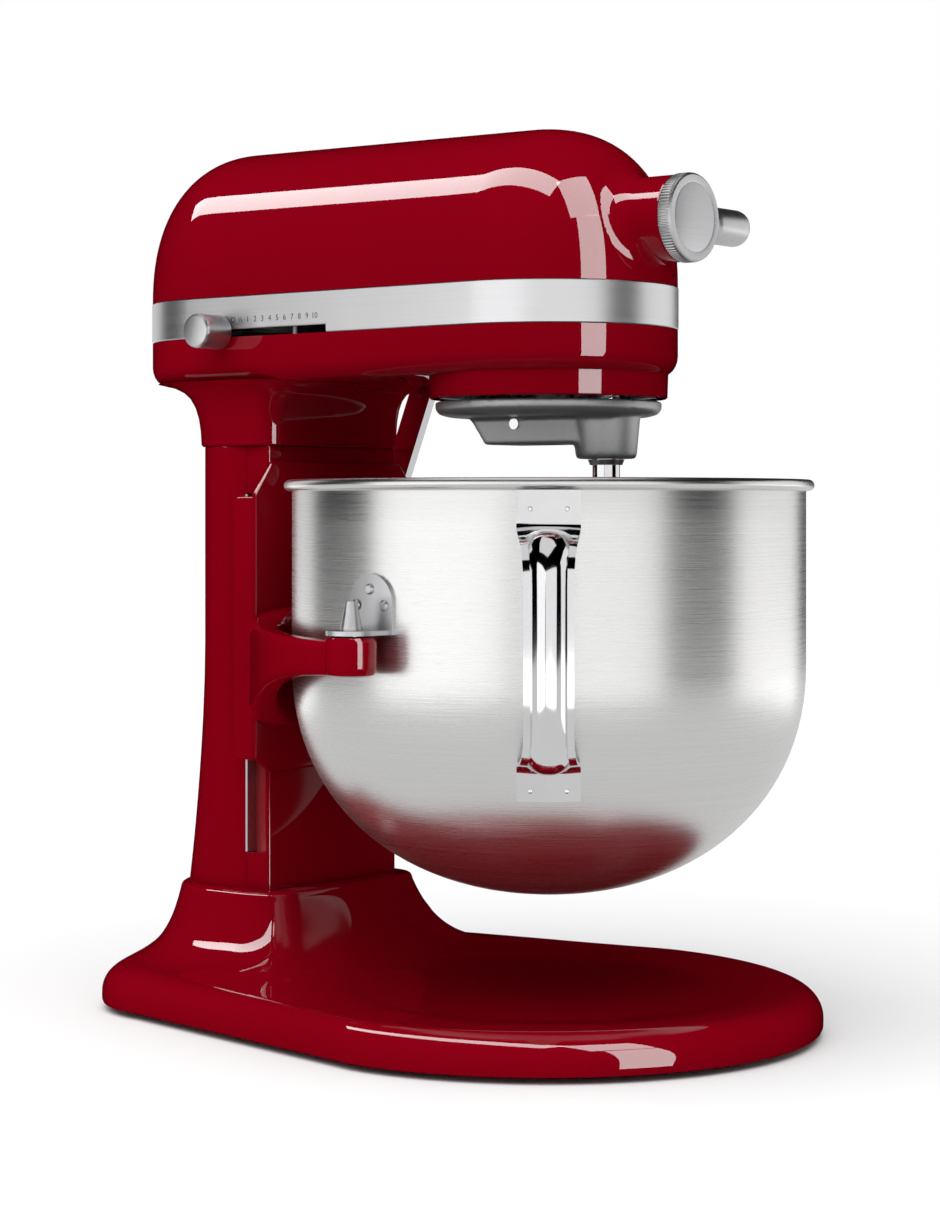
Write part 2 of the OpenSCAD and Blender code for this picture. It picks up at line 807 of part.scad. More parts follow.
module housing_screw() at_axis() color(steel) {
    translate([-arm_half - 0.8, screw_y, housing_z + 9.5]) rotate([0, 90, 0])
        cylinder(r = 2.55, h = arm_half + 0.8 - main_r);
}

module beater_shaft() at_axis() color(steel) {
    z = collar_z - beater_reach;
    translate([0, -planet_e, z]) difference() {
        cylinder(r = beater_r, h = ring_z + ring_t - z);
        translate([-beater_r - 1, 0, 7]) rotate([0, 90, 0]) cylinder(r = 2, h = 2 * beater_r + 2);
    }
}

module beater_pinion() at_axis() color(steel) {
    translate([0, -planet_e, ring_z]) spur(planet_teeth, planet_module, ring_t, beater_r, 270 + 180 / planet_teeth);
}

module beater_pin() at_axis() color(steel) {
    translate([-beater_r - 3, -planet_e, collar_z - beater_reach + 7]) rotate([0, 90, 0])
        cylinder(r = 1.98, h = 2 * beater_r + 6);
}

module beater_collar() at_axis() color(steel) {
    translate([0, -planet_e, collar_z]) difference() {
        cylinder(r1 = 7.4, r2 = 8.4, h = 2.5);
        translate([0, 0, -1]) cylinder(r = beater_r, h = 6);
    }
}

// ---- Hub cap and knob ------------------------------------------------------------------

module hub_cap() at_axis() color(steel) {
    translate([0, -hub_reach, hub_z]) rotate([-90, 0, 0]) {
        cylinder(r1 = cap_r - 0.8, r2 = cap_r, h = 0.8);
        translate([0, 0, 0.8 - tiny]) difference() {
            cylinder(r = cap_r, h = cap_t - 1.1);
            for (a = [0:6:354]) rotate(a) translate([cap_r + 0.25, -0.5, 0.8]) cube([1, 1, cap_t]);
        }
        translate([0, 0, 1]) cylinder(r = cap_seat_r - slide_gap, h = cap_t + cap_seat - 1.4);
    }
}

module hub_knob() at_axis() color(steel) {
    translate([0, -knob_y, hub_z]) rotate([0, 90, 0]) {
        translate([0, 0, socket_r + 1.2]) cylinder(r = 4, h = knob_boss - socket_r);
        translate([0, 0, knob_boss + 0.6]) cylinder(r1 = 6.4, r2 = 8.5, h = 3);
        translate([0, 0, knob_boss + 3.5]) cylinder(r = 8.5, h = 24);
        translate([0, 0, knob_boss + 27.5 - tiny]) cylinder(r1 = 8.5, r2 = 6.4, h = 2);
    }
}

// ---- Speed control ---------------------------------------------------------------------

speed_y = slot_back - 4.4;
blade_z = band_z + 1.4;
blade_t = 2;

module speed_knob() at_axis() color(steel) {
    translate([-head_r - 1.4, speed_y, blade_z + blade_t / 2]) rotate([0, -90, 0]) {
        difference() {
            cylinder(r = speed_knob_r, h = speed_knob_l);
            translate([-blade_t / 2 - tiny, -2.5, -1]) cube([blade_t + 2 * tiny, 5, 9]);
        }
        translate([0, 0, speed_knob_l - tiny]) cylinder(r1 = speed_knob_r, r2 = speed_knob_r - 0.8, h = 0.8);
    }
}

module speed_slider() at_axis() color(dark) {
    translate([-head_r - 9, speed_y - 2.4, blade_z]) cube([18, 4.8, blade_t]);
    translate([-head_r + 5.6, speed_y - 7, blade_z]) cube([3.6, 12, blade_t]);
}

module control_board() at_axis() color("darkgreen") {
    x = head_r - 27;
    translate([-x, slot_front - 8, gear_floor]) cube([1.6, 74, band_z - gear_floor + 2]);
    translate([-x - 4, slot_front, gear_floor + 3]) cube([4 + tiny, 58, 4]);
}

module cord_gland() at_axis() color("#333333") {
    translate([0, head_back - 10, gland_z]) rotate([-90, 0, 0]) difference() {
        union() {
            cylinder(r = gland_r, h = 10.3);
            translate([0, 0, -1.5]) cylinder(r = gland_r + 2, h = 1.5 + tiny);
        }
        translate([0, 0, -2]) cylinder(r = 3.6, h = 14);
    }
}

// ---- Bowl lift -------------------------------------------------------------------------

pin_r = 3;
low_pin_r = 2.5;
pin_y = shaft_y + crank_r * cos(lever_half_throw);
pin_z = shaft_z + crank_r * sin(lever_half_throw);
link_l = pin_z - bracket_z;
lever_x = max(head_r, col_w / 2) + 2.4;
lever_t = 5;
lever_w = 13.5;
link_x = -9.5;
link_t = 4.8;
crank_t = 8;
bracket_x = -15;
bracket_t = 4.8;

module lift_lever() at_axis() color(steel) {
    translate([lever_x, shaft_y, shaft_z]) rotate([lever_lean, 0, 0]) rotate([0, 90, 0]) difference() {
        union() {
            cylinder(r = 11, h = lever_t);
            translate([-lever_len + lever_w / 2, 0, 0]) cylinder(r = lever_w / 2, h = lever_t);
            translate([-lever_len + lever_w / 2, -lever_w / 2, 0]) cube([lever_len - lever_w / 2, lever_w, lever_t]);
        }
        translate([0, 0, -1]) cylinder(r = lift_shaft_r, h = lever_t + 2);
    }
}

module lift_shaft() at_axis() color(steel) {
    translate([-crank_t / 2, shaft_y, shaft_z]) rotate([0, 90, 0]) {
        cylinder(r = lift_shaft_r, h = lever_x + lever_t + crank_t / 2 + 0.6);
        translate([0, 0, lever_x + lever_t + crank_t / 2]) cylinder(r = 8, h = 2);
    }
}

module lift_crank() at_axis() color(zinc) {
    translate([-crank_t / 2, 0, 0]) difference() {
        union() {
            translate([0, shaft_y, shaft_z]) rotate([0, 90, 0]) cylinder(r = 10, h = crank_t);
            translate([0, pin_y, pin_z]) rotate([0, 90, 0]) cylinder(r = eye_r, h = crank_t);
            translate([0, shaft_y, shaft_z]) rotate([lever_half_throw, 0, 0])
                translate([0.3, 0, -eye_r + 0.6]) cube([crank_t - 0.6, crank_r, 2 * eye_r - 1.2]);
        }
        translate([-1, shaft_y, shaft_z]) rotate([0, 90, 0]) cylinder(r = lift_shaft_r, h = crank_t + 2);
    }
    translate([link_x - 1, pin_y, pin_z]) rotate([0, 90, 0])
        cylinder(r = pin_r, h = crank_t / 2 - link_x);
}

module lift_link() at_axis() color(steel) {
    translate([link_x, pin_y, 0]) {
        difference() {
            union() {
                translate([0, 0, pin_z]) rotate([0, 90, 0]) cylinder(r = eye_r, h = link_t);
                translate([0, 0, bracket_z]) rotate([0, 90, 0]) cylinder(r = eye_r, h = link_t);
                translate([0, -4, bracket_z]) cube([link_t, 8, link_l]);
            }
            translate([-1, 0, pin_z]) rotate([0, 90, 0]) cylinder(r = pin_r + run_gap, h = link_t + 2);
        }
        translate([bracket_x - link_x - 1, 0, bracket_z]) rotate([0, 90, 0])
            cylinder(r = low_pin_r, h = link_x - bracket_x + 1 + tiny);
    }
}

// Carriage: plate_front is its front face, and it wraps round the column's dovetail
plate_front = throat - slide_gap - plate_web;
wrap_back = guide_back - strip_t - slide_gap;
chamfer_top = [11.4, 10.5];
chamfer_low = [9, 6];
pin_x = bowl_r + 13.7;
pin_set = 6;
arm_in = bowl_r + rim_r + 3.1;
arm_out = arm_in + 12.5;
arm_h = 17;
root_h = 38;
gusset_h = 14;

function narrow(y) = guide_undercut * (y - throat) / guide_d;

module carriage_plan() {
    in_front = col_w / 2 + 0.5 - narrow(throat - slide_gap);
    in_back = col_w / 2 + 0.5 - narrow(wrap_back);
    difference() {
        translate([-carriage_w / 2, plate_front]) square([carriage_w, wrap_back - plate_front]);
        polygon([
            [-in_front, throat - slide_gap], [in_front, throat - slide_gap],
            [in_back, wrap_back + tiny], [-in_back, wrap_back + tiny]
        ]);
    }
}

module carriage_face() {
    w = carriage_w / 2;
    h = carriage_h;
    polygon([
        [-w + chamfer_low[0], 0], [w - chamfer_low[0], 0], [w, chamfer_low[1]],
        [w, h - chamfer_top[1]], [w - chamfer_top[0], h],
        [-w + chamfer_top[0], h], [-w, h - chamfer_top[1]], [-w, chamfer_low[1]]
    ]);
}

module yoke() at_axis() color(red) {
    difference() {
        union() {
            intersection() {
                translate([0, 0, carriage_z]) linear_extrude(carriage_h) carriage_plan();
                translate([0, throat + 60, carriage_z]) rotate([90, 0, 0]) linear_extrude(120)
                    carriage_face();
            }
            intersection() {
                difference() {
                    cylinder(r = arm_out, h = 400, $fn = 180);
                    translate([0, 0, -1]) cylinder(r = arm_in, h = 402, $fn = 180);
                }
                translate([-arm_out - 1, 0, 0]) rotate([90, 0, 90]) linear_extrude(2 * arm_out + 2)
                    arm_side();
            }
            both_sides() translate([pin_x, pin_set, yoke_z - arm_h]) cylinder(r = 11.3, h = arm_h);
        }
        both_sides() translate([pin_x, pin_set, yoke_z - 12]) cylinder(r = 3, h = 14);
        for (x = [-clip_x, clip_x]) translate([x, plate_front - 6, clip_z]) rotate([-90, 0, 0])
            cylinder(r = 1.6, h = 16);
        for (x = [-clip_x, clip_x]) translate([x, plate_front - 6, clip_z]) rotate([-90, 0, 0])
            cylinder(r = 3.4, h = 6);
        for (x = [-11, 11]) translate([x, plate_front - 6, bracket_z - 4]) rotate([-90, 0, 0])
            cylinder(r = 1.6, h = 16);
        for (x = [-11, 11]) translate([x, plate_front - 6, bracket_z - 4]) rotate([-90, 0, 0])
            cylinder(r = 3.4, h = 6);
    }
}

// Side view of the yoke's arms, from the pin blocks back to the carriage plate
module arm_side() {
    y = plate_front + plate_web / 2;
    polygon([
        [pin_set, yoke_z - arm_h], [pin_set + 34, yoke_z - arm_h - 2], [y - 54, yoke_z - arm_h - 7],
        [y - 26, yoke_z - arm_h - 14], [y - 8, yoke_z - root_h + 2], [y, yoke_z - root_h],
        [y, yoke_z + gusset_h], [y - 5, yoke_z + gusset_h / 3], [y - 12, yoke_z - 2],
        [y - 24, yoke_z - 4], [pin_set + 34, yoke_z - 2.5], [pin_set, yoke_z - 1]
    ]);
}

module locating_pins() at_axis() color(steel) {
    both_sides() translate([pin_x, pin_set, yoke_z]) {
        translate([0, 0, -11]) cylinder(r = 2.95, h = 11.1);
        cylinder(r = 4.7, h = 4);
        translate([0, 0, 4 - tiny]) cylinder(r1 = 4.7, r2 = 2.6, h = 11);
    }
}

module lift_bracket() at_axis() color(zinc) {
    h = 24;
    y0 = throat - slide_gap;
    slot_l = crank_r * (1 - cos(lever_half_throw));
    slack = low_pin_r + lift_slack;
    difference() {
        union() {
            translate([-17, y0, bracket_z - h / 2]) cube([34, 3.6, h]);
            translate([bracket_x, y0, bracket_z - 10]) cube([bracket_t, pin_y + slot_l + 4 - y0, 20]);
        }
        translate([bracket_x - 1, pin_y, bracket_z]) rotate([0, 90, 0]) cylinder(r = slack, h = bracket_t + 2);
        translate([bracket_x - 1, pin_y, bracket_z - slack])
            cube([bracket_t + 2, slot_l + 10, 2 * slack]);
        for (x = [-11, 11]) translate([x, y0 - 1, bracket_z - 4]) rotate([-90, 0, 0])
            cylinder(r = 1.6, h = 6);
    }
}
lift_slack = 3;

clip_x = 8;
clip_z = yoke_z + 23;
clip_gap = 0.5;
stud_r = 3;

module bowl_clip() at_axis() color(steel) {
    difference() {
        union() {
            translate([-12, plate_front - 1.2, clip_z - 8]) cube([24, 1.2, 20]);
            both_sides() translate([stud_r + clip_gap, plate_front - 5, clip_z - 8]) cube([1.2, 4, 20]);
        }
        for (x = [-clip_x, clip_x]) translate([x, plate_front - 3, clip_z]) rotate([-90, 0, 0])
            cylinder(r = 1.7, h = 6);
    }
}

module clip_screws() at_axis() color(zinc) {
    for (x = [-clip_x, clip_x]) translate([x, plate_front - 2.4, clip_z]) rotate([-90, 0, 0]) {
        cylinder(r = 2.9, h = 1.2);
        translate([0, 0, 1.2 - tiny]) cylinder(r = 1.55, h = 1.2 + plate_web);
    }
    for (x = [-11, 11]) translate([x, plate_front - 1.2, bracket_z - 4]) rotate([-90, 0, 0]) {
        cylinder(r = 2.9, h = 1.2);
        translate([0, 0, 1.2 - tiny]) cylinder(r = 1.55, h = plate_web + 3.4);
    }
}

// ---- Bowl ------------------------------------------------------------------------------

bowl_curve_h = 106;
bowl_power = 2.15;
bowl_steps = 18;
bowl_z = bowl_top - bowl_h;
rim_z = bowl_top - rim_r;

function bowl_point(a, w, h, z) = [w * pow(cos(a), 2 / bowl_power), z - h * pow(sin(a), 2 / bowl_power)];
function bowl_side(w, h) = [for (i = [0:bowl_steps]) bowl_point(90 * i / bowl_steps, w, h, bowl_z + bowl_curve_h)];
function backwards(v) = [for (i = [len(v) - 1:-1:0]) v[i]];

module bowl() at_axis() color(steel) {
    outer = bowl_side(bowl_r, bowl_curve_h);
    inner = bowl_side(bowl_r - bowl_wall, bowl_curve_h - bowl_wall);
    rotate_extrude($fn = 128) polygon(concat(
        [[bowl_r - bowl_wall, rim_z], [bowl_r, rim_z]], outer, backwards(inner)));
    translate([0, 0, rim_z]) rotate_extrude($fn = 128) translate([bowl_r + rim_r - bowl_wall, 0])
        circle(r = rim_r, $fn = 24);
}

handle_w = 20.8;
handle_tab_w = 27.3;
handle_t = 9;
handle_top = bowl_top - 20;
handle_low = bowl_z + 55;

module bowl_handle() at_axis() color(steel) {
    r = bowl_r + 0.1;
    far = bowl_r + handle_reach;
    rotate([0, 0, -90 - handle_turn]) {
        rotate([90, 0, 0]) translate([0, 0, -handle_w / 2]) linear_extrude(handle_w) difference() {
            polygon([
                [r - 1, handle_top], [far - 14, handle_top], [far, handle_top - 16],
                [far, handle_low + 16], [far - 14, handle_low], [r - 9, handle_low]
            ]);
            polygon([
                [0, handle_top - handle_t], [far - 18, handle_top - handle_t],
                [far - handle_t, handle_top - 20], [far - handle_t, handle_low + 20],
                [far - 18, handle_low + handle_t], [0, handle_low + handle_t]
            ]);
            translate([0, bowl_z]) square([r - 1, bowl_h]);
            bowl_half_plan();
        }
        intersection() {
            translate([r - 3, -handle_tab_w / 2, handle_top - 2]) cube([6, handle_tab_w, bowl_top - 4 - handle_top]);
            difference() {
                cylinder(r = r + 1.5, h = 400, $fn = 128);
                translate([0, 0, -1]) cylinder(r = r, h = 402, $fn = 128);
            }
        }
    }
}

// Side view of the bowl's outside, for cutting what lies against it
module bowl_half_plan() {
    polygon(concat([[0, bowl_top], [bowl_r + 0.1, bowl_top]], bowl_side(bowl_r + 0.1, bowl_curve_h)));
}

flange_w = 25;
flange_top = yoke_z + 26.6;
ear_t = 2;

module bowl_brackets() at_axis() color(steel) {
    both_sides() difference() {
        union() {
            intersection() {
                difference() {
                    cylinder(r = bowl_r + 1.6, h = 400, $fn = 128);
                    translate([0, 0, -1]) cylinder(r = bowl_r, h = 402, $fn = 128);
                }
                translate([bowl_r - 6, pin_set, 0]) rotate([90, 0, 90]) linear_extrude(10) {
                    translate([0, flange_top - flange_w / 2]) circle(r = flange_w / 2);
                    translate([-flange_w / 2, yoke_z + slide_gap])
                        square([flange_w, flange_top - flange_w / 2 - yoke_z - slide_gap]);
                }
            }
            translate([bowl_r + 0.9, pin_set - 11, yoke_z + slide_gap]) cube([pin_x - bowl_r - 0.9, 22, ear_t]);
            translate([pin_x, pin_set, yoke_z + slide_gap]) cylinder(r = 11, h = ear_t);
        }
        translate([pin_x, pin_set, yoke_z - 1]) cylinder(r = 5.1, h = 6);
        both_rivets() cylinder(r = 1.45, h = 6, center = true);
    }
}

rivet_spots = [[-1, 19.9], [-9, 12.9], [7, 12.9]];

module both_rivets() {
    for (p = rivet_spots) translate([bowl_r + 0.8, pin_set + p[0] + 1, yoke_z + p[1]]) rotate([0, 90, 0]) children();
}

module bowl_rivets() at_axis() color(steel) {
    both_sides() intersection() {
        both_rivets() {
            translate([0, 0, -0.6]) cylinder(r = 1.4, h = 2);
            translate([0, 0, 0.9]) cylinder(r1 = 2.4, r2 = 1.6, h = 0.9);
        }
        difference() {
            cylinder(r = bowl_r + 10, h = 400, $fn = 128);
            translate([0, 0, -1]) cylinder(r = bowl_r + 0.02, h = 402, $fn = 128);
        }
    }
}

module bowl_stud() at_axis() color(steel) {
    difference() {
        translate([0, bowl_r - 3, clip_z + 2]) rotate([-90, 0, 0]) {
            cylinder(r = 6, h = 4);
            cylinder(r = stud_r, h = plate_front - bowl_r + 0.6);
        }
        cylinder(r = bowl_r, h = 400, $fn = 720);
    }
}

// ---- Assembly --------------------------------------------------------------------------

base();
base_feet();
foot_screws();
column();
column_bolts();
guide_strips();
lift_bushes();
head_lower();
neck_bolts();
trim_band();
head_cover();
cover_screws();
gear_plate();
plate_screws();
ring_gear();
main_bearings();
counter_bushes();
motor_can();
motor_bearings();
hub_bush();
cord_gland();
control_board();
planetary_housing();
main_shaft();
main_gear();
crown_gear();
housing_screw();
beater_shaft();
beater_pinion();
beater_pin();
beater_collar();
counter_shaft();
counter_gear();
counter_pinion();
motor_shaft();
motor_pinion();
motor_rotor();
motor_fan();
hub_shaft();
hub_pinion();
hub_cap();
hub_knob();
speed_knob();
speed_slider();
lift_lever();
lift_shaft();
lift_crank();
lift_link();
yoke();
locating_pins();
lift_bracket();
bowl_clip();
clip_screws();
bowl();
bowl_handle();
bowl_brackets();
bowl_rivets();
bowl_stud();
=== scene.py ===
import math

import bmesh
import bpy
from mathutils import Matrix, Vector


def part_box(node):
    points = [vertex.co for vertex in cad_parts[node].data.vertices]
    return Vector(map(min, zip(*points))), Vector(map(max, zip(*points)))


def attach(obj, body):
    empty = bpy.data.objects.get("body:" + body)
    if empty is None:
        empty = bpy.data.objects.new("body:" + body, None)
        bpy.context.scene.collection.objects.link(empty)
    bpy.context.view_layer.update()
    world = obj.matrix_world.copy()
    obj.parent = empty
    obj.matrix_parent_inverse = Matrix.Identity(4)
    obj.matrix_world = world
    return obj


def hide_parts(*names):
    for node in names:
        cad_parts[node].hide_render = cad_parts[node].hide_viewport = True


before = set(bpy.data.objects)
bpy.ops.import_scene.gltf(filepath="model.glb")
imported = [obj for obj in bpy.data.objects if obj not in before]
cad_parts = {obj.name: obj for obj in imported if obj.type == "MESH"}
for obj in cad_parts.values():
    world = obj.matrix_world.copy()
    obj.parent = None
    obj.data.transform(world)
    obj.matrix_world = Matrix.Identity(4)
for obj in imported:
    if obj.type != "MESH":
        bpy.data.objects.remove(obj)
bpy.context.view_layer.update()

# The studio: a level camera in front of the mixer's left side, an even white room,
# long strip lights that gleam in the enamel and white cards that the steel reflects.
bowl_low, bowl_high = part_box("bowl")
AXIS_Y = (bowl_low.y + bowl_high.y) / 2


def spot(x, y, z):
    """A place in metres from millimetres about the bowl's axis."""
    return Vector((x / 1000, y / 1000 + AXIS_Y, z / 1000))


camera_data = bpy.data.cameras.new("camera")
camera = bpy.data.objects.new("camera", camera_data)
bpy.context.scene.collection.objects.link(camera)
camera_data.lens = 82.3
camera_data.sensor_width = 36
camera_data.shift_y = -0.0803
camera_data.clip_end = 50
camera.location = spot(-1030.9, -775.6, 241.1)
camera.rotation_euler = Vector((0.7818, 0.6235, 0)).to_track_quat("-Z", "Y").to_euler()
bpy.context.scene.camera = camera


def panel(name, place, target, width, height, radiance, seen_by, along=None):
    """A rectangular light that faces a target and only gleams in one kind of finish."""
    data = bpy.data.lights.new(name, "AREA")
    data.shape = "RECTANGLE"
    data.size = width
    data.size_y = height
    data.energy = radiance * math.pi * width * height
    light = bpy.data.objects.new(name, data)
    bpy.context.scene.collection.objects.link(light)
    light.location = place
    facing = (Vector(place) - Vector(target)).normalized()
    across = Vector(along) if along else Vector((0, 0, 1)).cross(facing).normalized()
    light.rotation_euler = Matrix((across, facing.cross(across), facing)).transposed().to_euler()
    light.visible_camera = False
    light.visible_diffuse = False
    light.light_linking.receiver_collection = seen_by
    return light


def around(angle, distance, height):
    """A place round the mixer: angle in degrees anticlockwise from +X, height above the floor."""
    a = math.radians(angle)
    return spot(1000 * distance * math.cos(a), 1000 * distance * math.sin(a), 1000 * height)


painted = bpy.data.collections.new("painted")
bright = bpy.data.collections.new("bright")
head = spot(0, 60, 370)
waist = spot(0, 40, 200)
panel("top_strip", head + Vector((-0.68, 0.60, 1.30)), head + Vector((0, 0.60, 0)),
      width=2.7, height=0.44, radiance=15, seen_by=painted, along=(0, 1, 0))
panel("bend_strip", head + Vector((-0.30, -1.05, 1.10)), head,
      width=0.7, height=0.8, radiance=13, seen_by=painted)
panel("front_strip", around(256.5, 1.75, 0.45), spot(0, 0, 220),
      width=0.7, height=1.9, radiance=13, seen_by=painted)
CARD_DISTANCE = 1.9
for name, angle, up, width, height, radiance in (("left_card", 168, 0.55, 2.45, 1.5, 1.25),
                                                 ("near_card", 235, 0.55, 2.45, 1.5, 1.0),
                                                 ("right_card", 331, 0.5, 2.0, 1.4, 0.95),
                                                 ("far_card", 75, 0.5, 1.3, 1.4, 0.8)):
    panel(name, around(angle, CARD_DISTANCE, up), waist, width, height, radiance, bright)
panel("top_card", head + Vector((-0.2, 0.1, 1.5)), head,
      width=1.6, height=1.6, radiance=0.8, seen_by=bright, along=(1, 0, 0))
panel("floor_card", spot(0, 0, 1), spot(0, 0, 500),
      width=6, height=6, radiance=0.72, seen_by=bright, along=(1, 0, 0))
sun_data = bpy.data.lights.new("sun", "SUN")
sun_data.energy = 2.75
sun_data.angle = 1.4
sun = bpy.data.objects.new("sun", sun_data)
bpy.context.scene.collection.objects.link(sun)
sun.rotation_euler = Vector((0.45, 0.1, -1)).to_track_quat("-Z", "Y").to_euler()
sun.visible_glossy = False

world = bpy.data.worlds.new("studio")
bpy.context.scene.world = world
world.use_nodes = True
sky = world.node_tree.nodes["Background"]
sky.inputs["Color"].default_value = (1, 1, 1, 1)
ray = world.node_tree.nodes.new("ShaderNodeLightPath")
level = world.node_tree.nodes.new("ShaderNodeMapRange")
ROOM_LIGHT, BACKDROP = 0.5, 1.0
level.inputs["To Min"].default_value = ROOM_LIGHT
level.inputs["To Max"].default_value = BACKDROP
world.node_tree.links.new(ray.outputs["Is Camera Ray"], level.inputs["Value"])
world.node_tree.links.new(level.outputs["Result"], sky.inputs["Strength"])
world.cycles_visibility.glossy = False
bpy.context.scene.view_settings.view_transform = "Standard"


class Wire:
    """One socket of a material's tree; sums and products of wires add the Math nodes."""

    def __init__(self, tree, socket):
        self.tree = tree
        self.socket = socket

    def node(self, kind, settings=None, sockets=None, out=0):
        made = self.tree.nodes.new(kind)
        for key, value in (settings or {}).items():
            setattr(made, key, value)
        for key, value in (sockets or {}).items():
            if isinstance(value, Wire):
                self.tree.links.new(value.socket, made.inputs[key])
            else:
                made.inputs[key].default_value = value
        return Wire(self.tree, made.outputs[out])

    def math(self, operation, first, second):
        return self.node("ShaderNodeMath", {"operation": operation}, {0: first, 1: second})

    def __add__(self, other):
        return self.math("ADD", self, other)

    def __radd__(self, other):
        return self.math("ADD", other, self)

    def __mul__(self, other):
        return self.math("MULTIPLY", self, other)

    def __rmul__(self, other):
        return self.math("MULTIPLY", other, self)


def surface(name, **fixed):
    """A new material, its shader with the values that stay the same, and its Object coordinates."""
    material = bpy.data.materials.new(name)
    material.use_nodes = True
    tree = material.node_tree
    shader = tree.nodes["Principled BSDF"]
    for key, value in fixed.items():
        shader.inputs[key.replace("_", " ")].default_value = value
    here = tree.nodes.new("ShaderNodeTexCoord")
    return material, shader, Wire(tree, here.outputs["Object"])


def feed(shader, name, wire):
    wire.tree.links.new(wire.socket, shader.inputs[name])


def stretched(here, x, y, z):
    """Object coordinates drawn out differently along each axis."""
    return here.node("ShaderNodeMapping", None, {"Vector": here, "Scale": (x, y, z)})


def noise(here, scale, detail=3.0, rough=0.55):
    return here.node("ShaderNodeTexNoise", None,
                     {"Vector": here, "Scale": scale, "Detail": detail, "Roughness": rough})


def between(wire, low, high):
    """A wire that runs from 0 to 1, taken from low to high."""
    return wire * (high - low) + low


def tinted(wire, first, second):
    return wire.node("ShaderNodeMix", {"data_type": "RGBA"},
                     {0: wire, 6: (*first, 1), 7: (*second, 1)}, out=2)


def bumped(shader, wire, strength, distance):
    bump = wire.node("ShaderNodeBump", None,
                     {"Height": wire, "Strength": strength, "Distance": distance})
    feed(shader, "Normal", bump)


# The floor: a plain pale sheet that the feet stand on, far wider than the view.
floor_mesh = bmesh.new()
bmesh.ops.create_grid(floor_mesh, x_segments=2, y_segments=2, size=12)
floor_data = bpy.data.meshes.new("floor")
floor_mesh.to_mesh(floor_data)
floor = bpy.data.objects.new("floor", floor_data)
bpy.context.scene.collection.objects.link(floor)
floor_paint, floor_shader, floor_here = surface("floor_paint", Roughness=0.7)
feed(floor_shader, "Base Color",
     tinted(noise(floor_here, 3.0), (0.9, 0.9, 0.9), (0.92, 0.92, 0.92)))
floor_data.materials.append(floor_paint)
floor.visible_glossy = False

# The castings' finish: deep red enamel, baked on and covered with a clear coat,
# with the faint mottle of metallic paint.
enamel, enamel_shader, here = surface("red_enamel", Specular_IOR_Level=0.0, Coat_Weight=1.0,
                                      Coat_Roughness=0.02, Coat_IOR=1.4)
flake = noise(here, 900.0, 2.0)
drift = noise(here, 7.0, 2.0)
feed(enamel_shader, "Base Color",
     tinted(flake * 0.5 + drift * 0.5, (0.185, 0.0003, 0.005), (0.245, 0.0006, 0.008)))
feed(enamel_shader, "Roughness", between(flake, 0.28, 0.38))


def grid_of(bm, across, along, place):
    """A sheet of across by along cells that closes on itself, its corners where place(i, j) says."""
    made = bmesh.ops.create_grid(bm, x_segments=across, y_segments=along, size=1)
    for vert in made["verts"]:
        i = round((vert.co.x + 1) / 2 * across)
        j = round((vert.co.y + 1) / 2 * along)
        vert.co = Vector(place(i % across, j))
    return made["verts"]


def turned(bm, steps, profile, centre=(0, 0, 0), axis="z"):
    """A turned shape: profile gives (radius, height) pairs along the axis."""
    cx, cy, cz = centre

    def place(i, j):
        r, h = profile[j]
        a = 2 * math.pi * i / steps
        c, s = r * math.cos(a), r * math.sin(a)
        if axis == "z":
            return (cx + c, cy + s, cz + h)
        if axis == "y":
            return (cx + c, cy + h, cz - s)
        return (cx + h, cy + c, cz + s)

    return grid_of(bm, steps, len(profile) - 1, place)


def piece(bm, name, body, slot, material, nodes=(), crease=32):
    """Makes a mesh drawn in millimetres about the bowl's axis a piece of the mixer."""
    bmesh.ops.remove_doubles(bm, verts=bm.verts, dist=0.002)
    bmesh.ops.dissolve_degenerate(bm, edges=bm.edges, dist=0.001)
    bmesh.ops.recalc_face_normals(bm, faces=bm.faces)
    bm.transform(Matrix.Translation((0, AXIS_Y, 0)) @ Matrix.Scale(0.001, 4))
    for face in bm.faces:
        face.smooth = True
    for edge in bm.edges:
        edge.smooth = (len(edge.link_faces) == 2
                       and edge.calc_face_angle(0) < math.radians(crease))
    data = bpy.data.meshes.new(name)
    bm.to_mesh(data)
    bm.free()
    made = bpy.data.objects.new(name, data)
    bpy.context.scene.collection.objects.link(made)
    data.materials.append(material)
    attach(made, body)
    if nodes:
        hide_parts(*nodes)
    (painted if slot == "casting" else bright).objects.link(made)
    return made


def finish_nodes(material, *names):
    """Gives CAD nodes whose shape is right their finish."""
    for name in names:
        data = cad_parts[name].data
        data.materials.clear()
        data.materials.append(material)
        bright.objects.link(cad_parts[name])


# Head cover: a die-cast dome, its section a squarish arch, with the hub's barrel
# growing out of its front in a fillet and the clamp knob's boss beside it.
HEAD_R, HEAD_TAIL, BAND_TOP, COVER_WALL = 60.0, 173.5, 343.7, 3.5
COVER_H, COVER_RISE = 73.2, 2.1
ARCH = 2.3
END_STEPS = 56
side_stops = [20, 50, 84.4, 84.6, 105, 130, 154.9, 155.1, 165]
# Stations round the head's plan: (y of the centre, angle) pairs.
stations = [(0, math.pi + math.pi * k / END_STEPS) for k in range(END_STEPS + 1)]
stations += [(y, 2 * math.pi) for y in side_stops]
stations += [(HEAD_TAIL, math.pi * k / END_STEPS) for k in range(END_STEPS + 1)]
stations += [(y, math.pi) for y in reversed(side_stops)]


